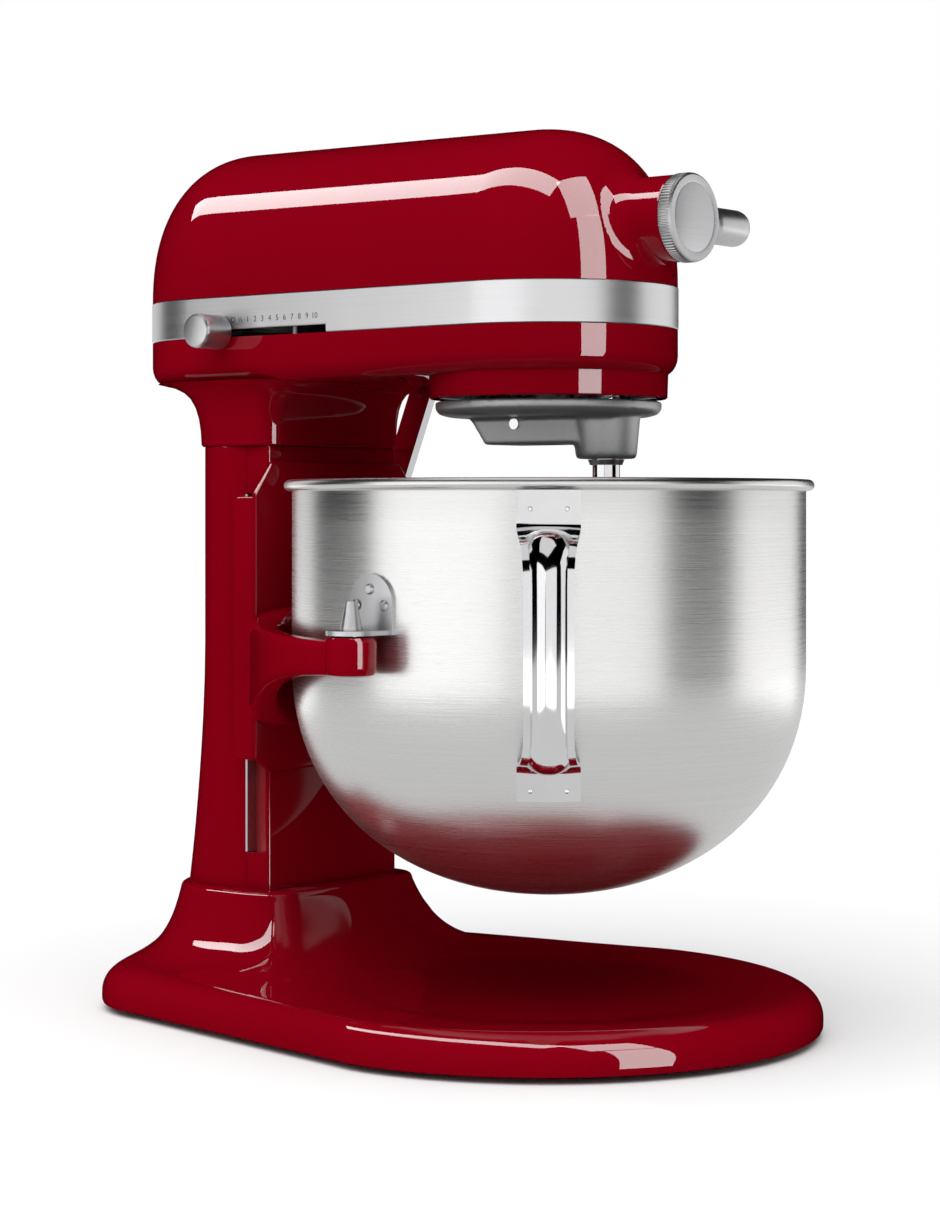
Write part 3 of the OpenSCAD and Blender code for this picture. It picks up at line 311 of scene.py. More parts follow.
def stadium_sheet(bm, profile, lift=lambda x, y, z: z):
    """A sheet swept round the head's plan from (radius, height) pairs, raised where lift says."""
    def place(i, j):
        cy, a = stations[i]
        r, z = profile[j]
        x, y = r * math.cos(a), cy + r * math.sin(a)
        return (x, y, lift(x, y, z))

    return grid_of(bm, len(stations), len(profile) - 1, place)


def arch(r, h, base, steps, down=False):
    """Half of the dome's squarish section, as (radius, height) pairs."""
    turns = [math.pi / 2 * k / steps for k in range(steps + 1)]
    points = [(r * math.cos(t) ** (2 / ARCH), base + h * math.sin(t) ** (2 / ARCH)) for t in turns]
    return points[::-1] if down else points


def dome_lift(x, y, z):
    """The dome rises a little towards its back."""
    return z + (z - BAND_TOP) / COVER_H * COVER_RISE * min(max(y / HEAD_TAIL, 0), 1)


bm = bmesh.new()
cover_low = BAND_TOP + 0.1
outside = arch(HEAD_R, COVER_H, cover_low, 30)
inside = arch(HEAD_R - COVER_WALL, COVER_H - COVER_WALL, cover_low, 14, down=True)
stadium_sheet(bm, outside + inside + [(HEAD_R, cover_low)], dome_lift)
HUB_Z, HUB_R, HUB_FRONT, BOSS_Y = 371.7, 19.6, -74.6, -67.0


def dome_front(x, z):
    """Where the dome's front lies at a place across it."""
    up = min(max((z - BAND_TOP) / COVER_H, 0), 0.999)
    r = HEAD_R * (1 - up ** ARCH) ** (1 / ARCH)
    return -math.sqrt(max(r * r - x * x, 1))


FILLET, FILLET_STEPS, HUB_STEPS = 8.0, 9, 72
hub_rows = [(12.7, -52.0), (12.7, -74.2), (13.1, HUB_FRONT), (19.0, HUB_FRONT),
            (HUB_R, -74.0), (HUB_R, -70.0)]


def hub_place(i, j):
    a = 2 * math.pi * i / HUB_STEPS
    if j < len(hub_rows):
        r, y = hub_rows[j]
        return (r * math.cos(a), y, HUB_Z + r * math.sin(a))
    t = (j - len(hub_rows)) / FILLET_STEPS * math.pi / 2
    r = HUB_R + FILLET * (1 - math.cos(t))
    x, z = r * math.cos(a), HUB_Z + r * math.sin(a)
    return (x, dome_front(x, z) - FILLET * (1 - math.sin(t)) + 0.06, z)


grid_of(bm, HUB_STEPS, len(hub_rows) + FILLET_STEPS, hub_place)
turned(bm, 40, [(0.01, 0), (7.6, 0), (7.6, 25.5), (7.2, 27.2), (6.4, 27.9), (0.01, 27.9)],
       (0, BOSS_Y, HUB_Z), "x")
piece(bm, "head_cover_shell", "stand", "casting", enamel, ["head_cover"])

# Lower housing: the head's body under the band, the round drum over the planetary
# and the neck that stands on the column; one casting.
SLOT_FRONT, SLOT_BACK, SLOT_FLOOR = 84.5, 155.0, 323.5


def at_slot(x, y):
    """Whether a place is on the left side, where the speed lever runs."""
    return x < 0 and SLOT_FRONT < y < SLOT_BACK


bm = bmesh.new()
inside = [(0.01, 307), (54.8, 307), (54.8, 333.8), (57.6, 333.8), (57.6, 324.1)]
under = [(60.0, 324.1), (60.0, 312.0), (59.7, 309.6), (58.9, 307.4), (57.6, 305.4),
         (55.8, 303.9), (53.0, 302.9), (48.0, 302.5), (30.0, 302.4), (0.01, 302.4)]
stadium_sheet(bm, inside + under, lambda x, y, z: SLOT_FLOOR if z > 325 and at_slot(x, y) else z)
turned(bm, 112, [(30, 304), (51.0, 304), (51.0, 293.0), (51.6, 292.4), (54.6, 292.4),
                 (55.2, 293.1), (55.6, 305.4), (52, 306)])


def round_box(front, back, half, corner_front, corner_back, steps=12):
    """Outline of a block with round corners, as (x, y) pairs all the way round."""
    out = []
    for cx, cy, r, start in ((half - corner_front, front + corner_front, corner_front, -90),
                             (half - corner_back, back - corner_back, corner_back, 0)):
        for k in range(steps + 1):
            a = math.radians(start + 90 * k / steps)
            out.append((cx + r * math.cos(a), cy + r * math.sin(a)))
    return out + [(-x, y) for x, y in reversed(out)]


def outline_sheet(bm, rows):
    """rows: (outline, z) pairs with as many points each; the first and last close on a point."""
    count = len(rows[0][0])

    def place(i, j):
        outline, z = rows[j]
        return (*outline[i], z)

    return grid_of(bm, count, len(rows) - 1, place)


def closed_rows(rows):
    """Adds a middle point under the first row and over the last."""
    def point(row):
        outline, z = row
        xs = sum(x for x, y in outline) / len(outline)
        ys = sum(y for x, y in outline) / len(outline)
        return ([(xs, ys)] * len(outline), z)
    return [point(rows[0])] + rows + [point(rows[-1])]


COL_FRONT, COL_BACK, COL_HALF, COL_CORNER = 132.4, 191.4, 47.6, 34.0
# (height, how far the neck stands out from the column in front, behind and beside)
neck_spread = [(272.2, 2.2, 2.2, 2.6), (273.0, 3.0, 3.0, 3.4), (280, 3.1, 3.6, 3.6),
               (286, 3.6, 4.9, 4.0), (291.5, 4.8, 7.2, 4.8), (296, 7.0, 10.8, 6.0),
               (299, 10.2, 15.0, 7.6), (301.4, 15.0, 20.5, 10.5), (303.4, 23.0, 30.0, 16)]
neck_rows = []
for z, ahead, behind, beside in neck_spread:
    neck_rows.append((round_box(COL_FRONT - ahead, COL_BACK + behind, COL_HALF + beside,
                                8 + ahead, COL_CORNER + behind * 0.6), z))
outline_sheet(bm, closed_rows(neck_rows))
piece(bm, "head_lower_casting", "stand", "casting", enamel, ["head_lower"])

# Trim band: a brushed aluminium strip round the head, notched over the speed lever's
# slot, with the speed scale printed above the notch.
band_metal, band_shader, here = surface("brushed_band", Metallic=1.0, Roughness=0.3)
grain = noise(stretched(here, 6, 6, 2600), 1.0, 4.0, 0.6)
cloud = noise(here, 30.0, 2.0)
feed(band_shader, "Base Color",
     tinted(grain * 0.7 + cloud * 0.3, (0.60, 0.60, 0.61), (0.80, 0.80, 0.81)))
feed(band_shader, "Roughness", between(grain, 0.26, 0.42))
bumped(band_shader, grain, 0.12, 0.0003)
NOTCH_H = 3.6
bm = bmesh.new()
stadium_sheet(bm, [(58.0, 324.3), (59.9, 324.3), (60.3, 324.7), (60.3, 343.2),
                   (59.9, 343.6), (58.0, 343.6), (58.0, 324.3)],
              lambda x, y, z: z + NOTCH_H if z < 325 and at_slot(x, y) else z)
piece(bm, "trim_band_strip", "stand", "brushed_band", band_metal, ["trim_band"])

ink, ink_shader, here = surface("scale_ink", Roughness=0.5)
feed(ink_shader, "Base Color", tinted(noise(here, 800.0), (0.02, 0.02, 0.02), (0.05, 0.05, 0.05)))
MARK_X, MARK_Z, FIRST_MARK, MARK_STEP = -60.32, 330.9, 143.7, 4.74
marks = bmesh.new()
for k, word in enumerate(["O", "½"] + [str(n) for n in range(1, 11)]):
    font = bpy.data.curves.new("mark", "FONT")
    font.body = word
    font.size = 3.9
    font.align_x = "CENTER"
    font.extrude = 0.03
    font_object = bpy.data.objects.new("mark", font)
    bpy.context.scene.collection.objects.link(font_object)
    flat = bpy.data.meshes.new_from_object(font_object)
    flat.transform(Matrix(((0, 0, -1, MARK_X), (-1, 0, 0, FIRST_MARK - MARK_STEP * k),
                           (0, 1, 0, MARK_Z), (0, 0, 0, 1))))
    marks.from_mesh(flat)
    bpy.data.objects.remove(font_object)
    bpy.data.curves.remove(font)
    bpy.data.meshes.remove(flat)
piece(marks, "speed_scale", "stand", "dark_plastic", ink)

# Speed knob: a turned aluminium barrel on the end of the speed lever.
satin, satin_shader, here = surface("satin_aluminium", Metallic=1.0, Roughness=0.32)
grain = noise(stretched(here, 1400, 60, 60), 1.0, 3.0)
feed(satin_shader, "Base Color", tinted(grain, (0.50, 0.50, 0.51), (0.66, 0.66, 0.67)))
feed(satin_shader, "Roughness", between(grain, 0.3, 0.44))
bumped(satin_shader, grain, 0.08, 0.0002)
knob_low, knob_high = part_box("speed_knob")
knob_y = (knob_low.y + knob_high.y) / 2 * 1000 - AXIS_Y * 1000
knob_z = (knob_low.z + knob_high.z) / 2 * 1000
bm = bmesh.new()
turned(bm, 64, [(0.01, -79.8), (6.6, -79.8), (7.5, -79.5), (8.0, -78.7), (8.2, -77.6),
                (8.2, -63.6), (7.9, -62.5), (7.0, -61.7), (5.6, -61.4), (0.01, -61.4)],
       (0, knob_y, knob_z), "x")
piece(bm, "speed_knob_barrel", "speed_lever", "bright_steel", satin, ["speed_knob"])

# Column: a hollow red casting, wider behind than in front, with a guide pocket down
# each side for the carriage, spreading a little at the back of its foot.
def column_outline(spread, pocket):
    """The column's outline, its back moved out by spread, with or without the guide pockets."""
    out = []
    for k in range(5):
        a = math.radians(-90 + 90 * k / 4)
        out.append((COL_HALF - 2 + 2 * math.cos(a), COL_FRONT + 2 + 2 * math.sin(a)))
    out.append((COL_HALF - 5.4 if pocket else COL_HALF, COL_FRONT + 13.8))
    out.append((COL_HALF + 0.3, COL_FRONT + 14.0))
    out.append((COL_HALF + 1.6, COL_FRONT + 19.0))
    r = COL_CORNER
    for k in range(25):
        a = math.radians(90 * k / 24)
        out.append((COL_HALF + 2.9 - r + r * math.cos(a),
                    COL_BACK - r + r * math.sin(a) + spread * (0.35 + 0.65 * math.sin(a))))
    return out + [(-x, y) for x, y in reversed(out)]


def foot_spread(z):
    """How far the column's back curves out towards its foot."""
    return 12.5 * max(0.0, (176 - z) / 118) ** 1.7


below_pocket = (57.6, 62, 68, 75.4)
beside_pocket = (75.5, 86, 98, 110, 125, 140, 158, 176, 210, 249.0)
above_pocket = (249.1, 260, 272.1)
rows = [(column_outline(foot_spread(z), False), z) for z in below_pocket]
rows += [(column_outline(foot_spread(z), True), z) for z in beside_pocket]
rows += [(column_outline(0, False), z) for z in above_pocket]
bm = bmesh.new()
outline_sheet(bm, closed_rows(rows))
bmesh.ops.remove_doubles(bm, verts=bm.verts, dist=0.002)


def softened(bm, edges, offset, segments):
    """Rounds edges over."""
    bmesh.ops.bevel(bm, geom=edges, offset=offset, segments=segments, profile=0.5,
                    affect="EDGES", material=-1, offset_type="OFFSET")


corners = [e for e in bm.edges
           if len(e.link_faces) == 2 and e.calc_face_angle(0) > math.radians(40)]
softened(bm, corners, 0.7, 3)
piece(bm, "column_casting", "stand", "casting", enamel, ["column"])

# Guide strips: two flat bright steel strips on the back walls of the guide pockets.
bm = bmesh.new()
for side in (-1, 1):
    made = bmesh.ops.create_cube(bm, size=1)
    bmesh.ops.scale(bm, vec=(6.4, 1.2, 172.6), verts=made["verts"])
    bmesh.ops.translate(bm, vec=(side * 45.9, 145.5, 162.4), verts=made["verts"])
piece(bm, "guide_strips_bright", "stand", "bright_steel", satin, ["guide_strips"])

# Base: one heavy casting, a round-fronted plate with a shallow round seat under the
# bowl, and a plinth that flares up to the column's foot.
BASE_C = Vector((0, 162))
SPOKES = 300


def rounded(value, power):
    """A cosine or sine drawn towards a squarer or rounder curve, with its sign kept."""
    return math.copysign(abs(value) ** power, value)


def plate_outline():
    """The plate's edge as many (x, y) points, anticlockwise from -X."""
    out = []
    half, length, belly, power = 131.4, 134.0, 7.0, 2 / 1.97
    for k in range(121):
        t = math.pi + math.pi * k / 120
        out.append((half * rounded(math.cos(t), power), belly + length * rounded(math.sin(t), power)))
    corner_x, corner_y, r = 54.3, 167.8, 50.0
    for start, cx in ((0, corner_x), (90, -corner_x)):
        for k in range(31):
            a = math.radians(start + 90 * k / 30)
            out.append((cx + r * math.cos(a), corner_y + r * math.sin(a)))
    return out


def reach(outline, angle):
    """Distance from the base's centre to an outline along an angle."""
    d = Vector((math.cos(angle), math.sin(angle)))
    best = 0.0
    for p, q in zip(outline, outline[1:] + outline[:1]):
        a, b = Vector(p) - BASE_C, Vector(q) - BASE_C
        e = b - a
        cross = d.x * e.y - d.y * e.x
        if abs(cross) < 1e-9:
            continue
        s = (a.x * e.y - a.y * e.x) / cross
        t = (a.x * d.y - a.y * d.x) / cross
        if s > 0 and -1e-6 <= t <= 1 + 1e-6:
            best = max(best, s)
    return best


plate = plate_outline()
foot = round_box(COL_FRONT - 12, COL_BACK + 12.6, COL_HALF + 10.5, 19, 40)
plate_reach = [reach(plate, 2 * math.pi * k / SPOKES) for k in range(SPOKES)]
foot_reach = [reach(foot, 2 * math.pi * k / SPOKES) for k in range(SPOKES)]
PLATE_Z, PLINTH_Z = 20.6, 58.0
EDGE_R, EDGE_DROP, DISH_R, DISH_DEPTH, CAP_STEPS, CAP_R = 15, 12.4, 99, 1.6, 4, 3
edge_rows = [(14.0, 4.2), (6.0, 3.6), (2.0, 2.9), (0.7, 3.3), (0.1, 4.6), (0.0, 6.6)]
top_rows = [math.pi / 2 * k / 12 for k in range(13)]
flare_rows = [1 - k / 26 for k in range(23)] + [0.085, 0.055, 0.03, 0.012, 0.0]


def eased(t):
    """Runs smoothly from 0 to 1."""
    t = min(max(t, 0), 1)
    return t * t * (3 - 2 * t)


def base_place(i, j):
    angle = 2 * math.pi * i / SPOKES
    outer, inner = plate_reach[i], foot_reach[i]
    room = outer - inner
    tight = min(1.0, room / 29)
    length = 8.6 * tight + 6.9 * eased((room - 32) / 60)
    k = j - 1 - len(edge_rows)
    if j == 0:
        r, z = 0.01, 4.2
    elif k < 0:
        inset, z = edge_rows[j - 1]
        r = outer - inset
    elif k < len(top_rows) + len(flare_rows):
        t = top_rows[k] if k < len(top_rows) else math.pi / 2
        inset = EDGE_R * (1 - math.cos(t))
        g = room - inset * tight
        if k >= len(top_rows):
            g *= flare_rows[k - len(top_rows)] * 0.97
        r = inner + g
        drop = EDGE_DROP * (1 - math.sin(t)) ** 1.1
        z = PLATE_Z + (PLINTH_Z - CAP_R - PLATE_Z) * math.exp(-g / length) - drop
        x, y = BASE_C.x + r * math.cos(angle), BASE_C.y + r * math.sin(angle)
        z -= DISH_DEPTH * eased((DISH_R - math.hypot(x, y)) / 16)
    elif k < len(top_rows) + len(flare_rows) + CAP_STEPS:
        t = (k - len(top_rows) - len(flare_rows) + 1) / CAP_STEPS * math.pi / 2
        r, z = inner - CAP_R * (1 - math.cos(t)), PLINTH_Z - CAP_R + CAP_R * math.sin(t)
    else:
        r, z = 0.01, PLINTH_Z
    return (BASE_C.x + r * math.cos(angle), BASE_C.y + r * math.sin(angle), z)


bm = bmesh.new()
base_rows = 1 + len(edge_rows) + len(top_rows) + len(flare_rows) + CAP_STEPS
grid_of(bm, SPOKES, base_rows, base_place)
piece(bm, "base_casting", "stand", "casting", enamel, ["base"])

# Carriage: the red casting that slides on the column, a plate with cut corners that
# wraps round the guide, and two arms that reach round the bowl to their pin blocks.
CAR_FRONT, CAR_PLATE, CAR_HALF = 129.4, 2.6, 60.2
FLANGE_LOW, FLANGE_H = 121.6, 126.0


def drawn_out(bm, outline, direction):
    """A block: a flat outline extruded in a direction."""
    face = bm.faces.new([bm.verts.new(corner) for corner in outline])
    grown = bmesh.ops.extrude_face_region(bm, geom=[face])
    far = [v for v in grown["geom"] if isinstance(v, bmesh.types.BMVert)]
    bmesh.ops.translate(bm, vec=direction, verts=far)


bm = bmesh.new()
plate_corners = [(-50, 115.6), (50, 115.6), (CAR_HALF, 122.6), (CAR_HALF, 248.6),
                 (47.6, 264.4), (-47.6, 264.4), (-CAR_HALF, 248.6), (-CAR_HALF, 122.6)]
drawn_out(bm, [(x, CAR_FRONT, z) for x, z in plate_corners], (0, CAR_PLATE, 0))
flange = [(48.3, 131.0), (CAR_HALF, 131.0), (CAR_HALF, 144.4), (43.2, 144.4)]
for side in (-1, 1):
    drawn_out(bm, [(side * x, y, FLANGE_LOW) for x, y in flange], (0, 0, FLANGE_H))
softened(bm, [e for e in bm.edges if len(e.link_faces) == 2], 1.4, 4)
ARM_IN, ARM_OUT, ARM_SIDES, ROOT_SPREAD, ROOT_BACK = 124.6, 137.0, 32, 6.5, 131.5
arm_angles = [3.16887, 4, 8, 12, 16, 20, 24, 28, 33, 38, 44, 50, 56, 62, 68, 74, 80, 85, 89]


def arm_top(y):
    """The arm's top edge, which sweeps up where it leaves the plate."""
    if y > 112:
        return 189.2 + 11 * ((y - 112) / 18) ** 2.2
    return 184.6 + 4.6 * (max(y, 0) / 112) ** 2


def arm_bottom(y):
    """The arm's bottom edge, which curves down into the plate."""
    return 169.6 - 36 * (max(y - 14, 0) / 116) ** 2.3


def arm_place(side):
    def place(i, j):
        a = math.radians(arm_angles[j])
        outer = ARM_OUT + ROOT_SPREAD * eased((50 - arm_angles[j]) / 25)
        if arm_angles[j] < 60:
            outer = max(min(outer, ROOT_BACK / math.cos(a)), ARM_IN + 6)
        mid = (ARM_IN + outer) / 2
        y = mid * math.cos(a)
        low, high = arm_bottom(y), arm_top(y)
        half_w, half_h = (outer - ARM_IN) / 2, (high - low) / 2
        t = 2 * math.pi * i / ARM_SIDES
        r = mid + half_w * rounded(math.cos(t), 0.45)
        h = half_h * rounded(math.sin(t), 0.45 if half_h < 12 else 0.3)
        return (side * r * math.sin(a), r * math.cos(a), (low + high) / 2 + h)
    return place


for side in (-1, 1):
    grid_of(bm, ARM_SIDES, len(arm_angles) - 1, arm_place(side))
    turned(bm, 48, [(0.01, 169.8), (8.2, 169.8), (10.0, 170.4), (11.0, 172.0), (11.3, 174.0),
                    (11.3, 183.6), (11.0, 185.4), (10.2, 186.6), (8.8, 187.0), (0.01, 187.0)],
           (side * 132.5, 6, 0))
open_ends = [e for e in bm.edges if e.is_boundary]
bmesh.ops.holes_fill(bm, edges=open_ends, sides=64)
piece(bm, "carriage_casting", "carriage", "casting", enamel, ["yoke"])

# Bowl: a deep spun steel bowl with a rolled rim, brushed round and round.
brushed, brushed_shader, here = surface("brushed_bowl", Metallic=1.0, Roughness=0.27)
grain = noise(stretched(here, 9, 9, 1500), 1.0, 5.0, 0.65)
fine = noise(stretched(here, 30, 30, 5200), 1.0, 2.0, 0.5)
both = grain * 0.6 + fine * 0.4
feed(brushed_shader, "Base Color", tinted(both, (0.62, 0.615, 0.61), (0.82, 0.815, 0.81)))
feed(brushed_shader, "Roughness", between(both, 0.2, 0.36))
bumped(brushed_shader, both, 0.16, 0.0003)
BOWL_R, BOWL_Z, CURVE, BOWL_WALL, CURVE_STEPS, ROUNDNESS = 118.8, 64.2, 106.0, 1.4, 30, 2.15
RIM_R, RIM_Z, RIM_BEAD = 120.0, 252.4, 2.6


def bowl_curve(r, depth):
    """The bowl's rounded bottom from its side to its middle, as (radius, height) pairs."""
    out = []
    for k in range(CURVE_STEPS + 1):
        t = math.pi / 2 * k / CURVE_STEPS
        out.append((max(r * math.cos(t) ** (2 / ROUNDNESS), 0.01),
                    BOWL_Z + CURVE - depth * math.sin(t) ** (2 / ROUNDNESS)))
    return out


rim_turns = [math.radians(a) for a in range(-120, 240, 20)]
bm = bmesh.new()
profile = bowl_curve(BOWL_R, CURVE)[::-1]
profile += [(BOWL_R, 190), (BOWL_R, 215), (BOWL_R, 235), (BOWL_R, 249.6)]
profile += [(RIM_R + RIM_BEAD * math.cos(a), RIM_Z + RIM_BEAD * math.sin(a)) for a in rim_turns]
profile += [(BOWL_R - BOWL_WALL, 250.5), (BOWL_R - BOWL_WALL, 230), (BOWL_R - BOWL_WALL, 200)]
profile += bowl_curve(BOWL_R - BOWL_WALL, CURVE - BOWL_WALL)
turned(bm, 160, profile)
piece(bm, "bowl_spinning", "bowl_set", "brushed_bowl", brushed, ["bowl"])

# Bowl handle: pressed from thick bright steel, a raised round spine with thin edges,
# flaring to a flat tab at each end that is spot welded to the bowl.
polished, polished_shader, here = surface("polished_steel", Metallic=1.0, Roughness=0.07)
smudge = noise(here, 60.0, 4.0)
feed(polished_shader, "Base Color", tinted(smudge, (0.70, 0.70, 0.71), (0.80, 0.80, 0.81)))
feed(polished_shader, "Roughness", between(smudge, 0.05, 0.12))
HANDLE_TURN = math.radians(-143)
HANDLE_WALL, SPINE_WIDTH, ACROSS = 0.8, 0.72, 22


def wall(z):
    """The bowl's outside radius at a height."""
    if z > BOWL_Z + CURVE:
        return BOWL_R
    return BOWL_R * (1 - ((BOWL_Z + CURVE - z) / CURVE) ** ROUNDNESS) ** (1 / ROUNDNESS)




def held(s, w):
    """A place on the handle's side of the bowl: s out from the axis and w across."""
    c, t = math.cos(HANDLE_TURN), math.sin(HANDLE_TURN)
    return (s * c - w * t, s * t + w * c)


# (radius from the axis, height, half width, height of the spine), from the top tab down
path = [(wall(249) + 1.0, 249.6, 13.65, 0.0), (wall(240) + 1.0, 240, 13.65, 0.0),
        (wall(236) + 1.0, 235.0, 13.65, 0.0), (BOWL_R + 2.0, 233.4, 13.6, 0.0)]
path += [(BOWL_R + out, z, half, spine) for out, z, half, spine in (
    (6, 232.2, 13.5, 0.2), (14, 231.2, 13.2, 1.2), (24, 229.6, 12.6, 3.0), (32, 226.6, 11.8, 4.2),
    (37.5, 222.4, 11.0, 4.8), (40.2, 217, 10.6, 5.2), (41.2, 210, 10.4, 5.4), (41.6, 196, 10.4, 5.4),
    (41.7, 180, 10.4, 5.4), (41.6, 164, 10.4, 5.4), (41.0, 151, 10.4, 5.4), (39.4, 144, 10.6, 5.2),
    (35.4, 139, 11.2, 4.6), (28, 136.2, 12.0, 3.6), (16, 134.4, 12.8, 2.2), (4, 133.4, 13.4, 0.8))]
path += [(wall(132) + 3.0, 132.2, 13.6, 0.2), (wall(128) + 1.2, 129.4, 13.65, 0.0),
         (wall(122) + 1.0, 122, 13.65, 0.0), (wall(117) + 1.0, 117.0, 13.65, 0.0)]


def handle_place(i, j):
    s, z, half, spine = path[j]
    s0, z0 = path[max(j - 1, 0)][:2]
    s1, z1 = path[min(j + 1, len(path) - 1)][:2]
    along = Vector((s1 - s0, z1 - z0)).normalized()
    out = Vector((-along.y, along.x))
    k = i if i <= ACROSS else 2 * ACROSS + 2 - i - 1
    w = half * (2 * min(k, ACROSS) / ACROSS - 1)
    ridge = spine * max(0.0, 1 - (abs(w / half) / SPINE_WIDTH) ** 2.6) - w * w / 2 / 119
    raised = ridge + (HANDLE_WALL if i <= ACROSS else -HANDLE_WALL)
    return (*held(s + out.x * raised, w), z + out.y * raised)


bm = bmesh.new()
grid_of(bm, 2 * ACROSS + 2, len(path) - 1, handle_place)
bmesh.ops.remove_doubles(bm, verts=bm.verts, dist=0.002)
bmesh.ops.holes_fill(bm, edges=[e for e in bm.edges if e.is_boundary], sides=80)
for z in (241.6, 121.6):
    for w in (-7.8, 7.8):
        weld = turned(bm, 20, [(0.01, 0.34), (0.75, 0.3), (0.95, 0.12), (1.1, -0.3), (0.01, -0.3)])
        upright = Matrix.Rotation(HANDLE_TURN, 4, "Z") @ Matrix.Rotation(math.pi / 2, 4, "Y")
        at_tab = Matrix.Translation((*held(wall(z) + 1.7, w), z)) @ upright
        bmesh.ops.transform(bm, matrix=at_tab, verts=weld)
piece(bm, "bowl_handle_pressing", "bowl_set", "bright_steel", polished, ["bowl_handle"])

# Hub cap: a turned aluminium cover with a finely knurled rim that closes the hub.
bm = bmesh.new()
KNURLS, KNURL_DEPTH = 84, 0.3
cap_rows = [(0.01, -81.8), (15.2, -81.8), (15.6, -81.65), (16.0, -81.8), (19.0, -81.8),
            (19.6, -81.4), (19.9, -80.8), (20.0, -80.2), (20.1, -79.8), (20.1, -75.6),
            (20.0, -75.2), (19.4, -74.8), (12.3, -74.8), (12.3, -71.2), (0.01, -71.2)]
knurled_rows = range(7, 11)


def cap_place(i, j):
    r, y = cap_rows[j]
    a = 2 * math.pi * i / (KNURLS * 4)
    if j in knurled_rows and i % 4 < 2:
        r -= KNURL_DEPTH
    return (r * math.cos(a), y, HUB_Z - r * math.sin(a))


grid_of(bm, KNURLS * 4, len(cap_rows) - 1, cap_place)
cap_metal, cap_shader, here = surface("cap_aluminium", Metallic=1.0, Roughness=0.36)
grain = noise(stretched(here, 40, 40, 1800), 1.0, 3.0)
feed(cap_shader, "Base Color", tinted(grain, (0.48, 0.48, 0.49), (0.62, 0.62, 0.63)))
feed(cap_shader, "Roughness", between(grain, 0.32, 0.46))
piece(bm, "hub_cap_turning", "hub_cover", "bright_steel", cap_metal, ["hub_cap"])

# Hub clamp knob: a turned aluminium thumbscrew that locks an attachment in the hub.
bm = bmesh.new()
turned(bm, 56, [(0.01, 13.4), (3.9, 13.4), (3.9, 28.6), (6.2, 28.8), (7.6, 30.2), (8.3, 32.2),
                (8.5, 34.0), (8.5, 53.6), (8.2, 55.2), (7.4, 56.4), (6.2, 57.0), (0.01, 57.2)],
       (0, BOSS_Y, HUB_Z), "x")
piece(bm, "hub_knob_turning", "hub_clamp", "bright_steel", satin, ["hub_knob"])

# Planetary housing: a satin grey casting, a wide disc under the drum, a box-like arm
# across it and the beater's tapered spindle housing at the arm's front end.
cast, cast_shader, here = surface("satin_casting", Metallic=0.85, Roughness=0.42)
speck = noise(here, 500.0, 3.0)
feed(cast_shader, "Base Color", tinted(speck, (0.33, 0.33, 0.335), (0.42, 0.42, 0.425)))
feed(cast_shader, "Roughness", between(speck, 0.36, 0.5))
bumped(cast_shader, speck, 0.1, 0.0004)
BEATER_Y, ARM_HALF = -33, 14.0
bm = bmesh.new()
turned(bm, 96, [(0.01, 284.0), (46, 284.0), (50.6, 285.2), (52.5, 287.4), (52.5, 291.2),
                (0.01, 291.2)])
turned(bm, 64, [(0.01, 264.4), (12.8, 264.4), (13.6, 264.8), (14.0, 266.0), (16.0, 288),
                (0.01, 288)], (0, BEATER_Y, 0))
arm_side = [(BEATER_Y, 271.4), (27, 271.4), (38, 286.5), (BEATER_Y, 286.5)]
drawn_out(bm, [(ARM_HALF, y, z) for y, z in arm_side], (-2 * ARM_HALF, 0, 0))
bmesh.ops.recalc_face_normals(bm, faces=bm.faces)
rough_data = bpy.data.meshes.new("rough_casting")
bm.to_mesh(rough_data)
bm.free()
rough = bpy.data.objects.new("rough_casting", rough_data)
bpy.context.scene.collection.objects.link(rough)
remesh = rough.modifiers.new("remesh", "REMESH")
remesh.mode = "VOXEL"
remesh.voxel_size = 0.9
soften = rough.modifiers.new("soften", "SMOOTH")
soften.factor = 0.5
soften.iterations = 9
bpy.context.view_layer.update()
remeshed = rough.evaluated_get(bpy.context.evaluated_depsgraph_get())
cast_mesh = bpy.data.meshes.new_from_object(remeshed)
bpy.data.objects.remove(rough)
bm = bmesh.new()
bm.from_mesh(cast_mesh)
bpy.data.meshes.remove(cast_mesh)
piece(bm, "planetary_casting", "planetary", "cast_zinc", cast, ["planetary_housing"], crease=60)

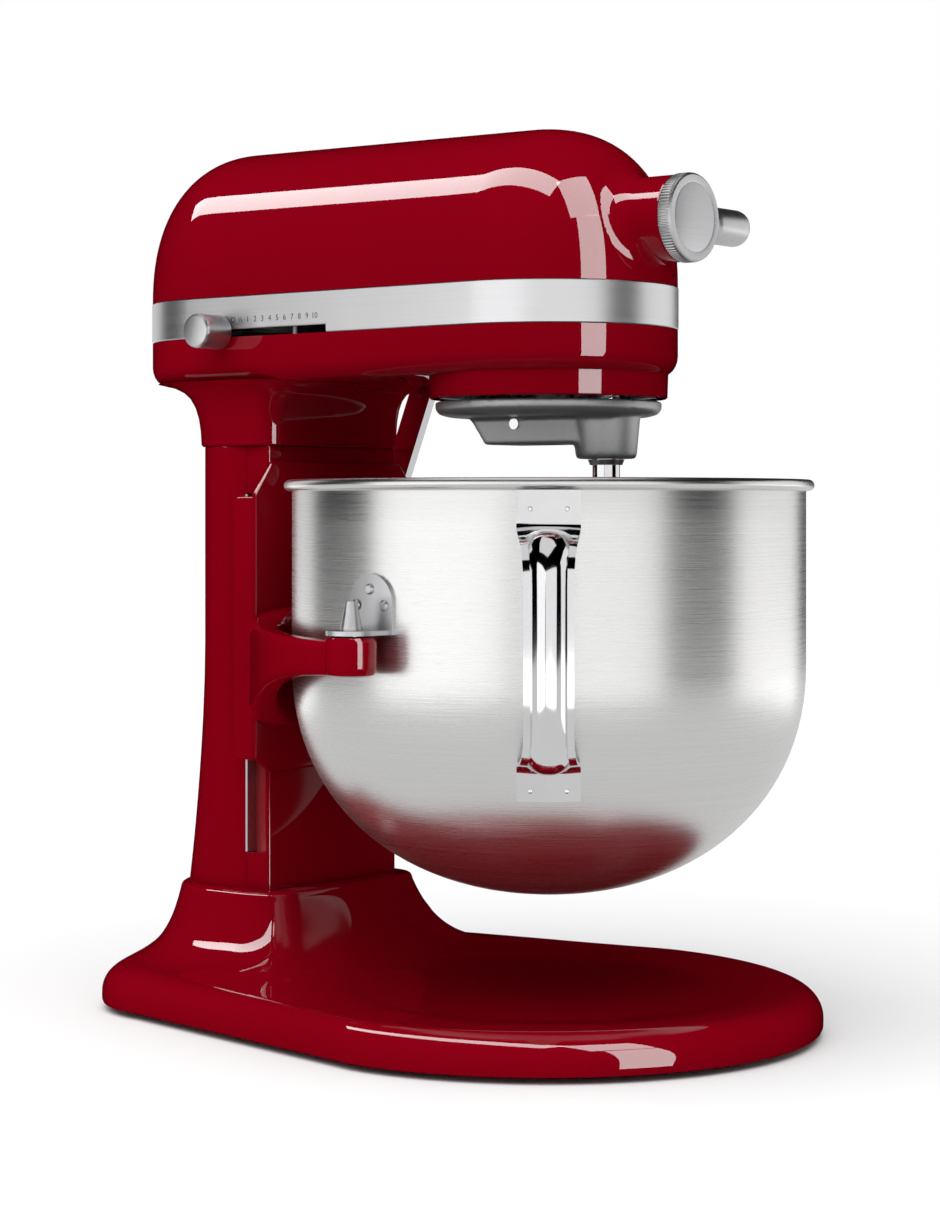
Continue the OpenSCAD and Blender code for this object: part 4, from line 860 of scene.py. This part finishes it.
# The rest: bright small parts, and the works inside the head and column, keep their
# turned and cut shapes and get their own finishes.
plain, plain_shader, here = surface("machined_steel", Metallic=1.0, Roughness=0.35)
grain = noise(stretched(here, 300, 300, 900), 1.0, 3.0)
feed(plain_shader, "Base Color", tinted(grain, (0.34, 0.34, 0.35), (0.5, 0.5, 0.51)))
feed(plain_shader, "Roughness", between(grain, 0.28, 0.45))
bronze, bronze_shader, here = surface("sintered_bronze", Metallic=1.0, Roughness=0.5)
feed(bronze_shader, "Base Color",
     tinted(noise(here, 1500.0), (0.45, 0.28, 0.12), (0.62, 0.42, 0.2)))
rubber, rubber_shader, here = surface("foot_rubber", Roughness=0.8)
feed(rubber_shader, "Base Color",
     tinted(noise(here, 600.0), (0.015, 0.015, 0.015), (0.03, 0.03, 0.03)))
moulded, moulded_shader, here = surface("black_moulding", Roughness=0.5)
feed(moulded_shader, "Base Color",
     tinted(noise(here, 900.0), (0.012, 0.012, 0.013), (0.03, 0.03, 0.032)))
nylon, nylon_shader, here = surface("natural_nylon", Roughness=0.45)
feed(nylon_shader, "Base Color", tinted(noise(here, 200.0), (0.68, 0.66, 0.58), (0.8, 0.78, 0.7)))
lacquer, lacquer_shader, here = surface("board_lacquer", Roughness=0.3)
feed(lacquer_shader, "Base Color",
     tinted(noise(here, 400.0), (0.01, 0.12, 0.04), (0.03, 0.2, 0.07)))
winding, winding_shader, here = surface("wound_copper", Roughness=0.35, Metallic=0.6)
feed(winding_shader, "Base Color",
     tinted(noise(stretched(here, 200, 200, 2500), 1.0), (0.3, 0.1, 0.03), (0.55, 0.25, 0.1)))
finish_nodes(satin, "locating_pins", "bowl_brackets", "bowl_rivets")
finish_nodes(rubber, "base_feet", "cord_gland")
finish_nodes(polished, "bowl_stud", "bowl_clip", "lift_lever",
             "beater_shaft", "beater_pin", "beater_collar", "housing_screw")
finish_nodes(plain, "foot_screws", "column_bolts", "neck_bolts", "cover_screws", "plate_screws",
             "clip_screws", "gear_plate", "ring_gear", "main_bearings", "motor_bearings",
             "main_shaft", "main_gear", "crown_gear", "beater_pinion", "counter_shaft",
             "counter_pinion", "motor_shaft", "motor_pinion", "hub_shaft", "hub_pinion",
             "lift_shaft", "lift_crank", "lift_link", "lift_bracket")
finish_nodes(bronze, "counter_bushes", "lift_bushes", "hub_bush")
finish_nodes(moulded, "motor_can", "speed_slider")
finish_nodes(nylon, "counter_gear", "motor_fan")
finish_nodes(lacquer, "control_board")
finish_nodes(winding, "motor_rotor")
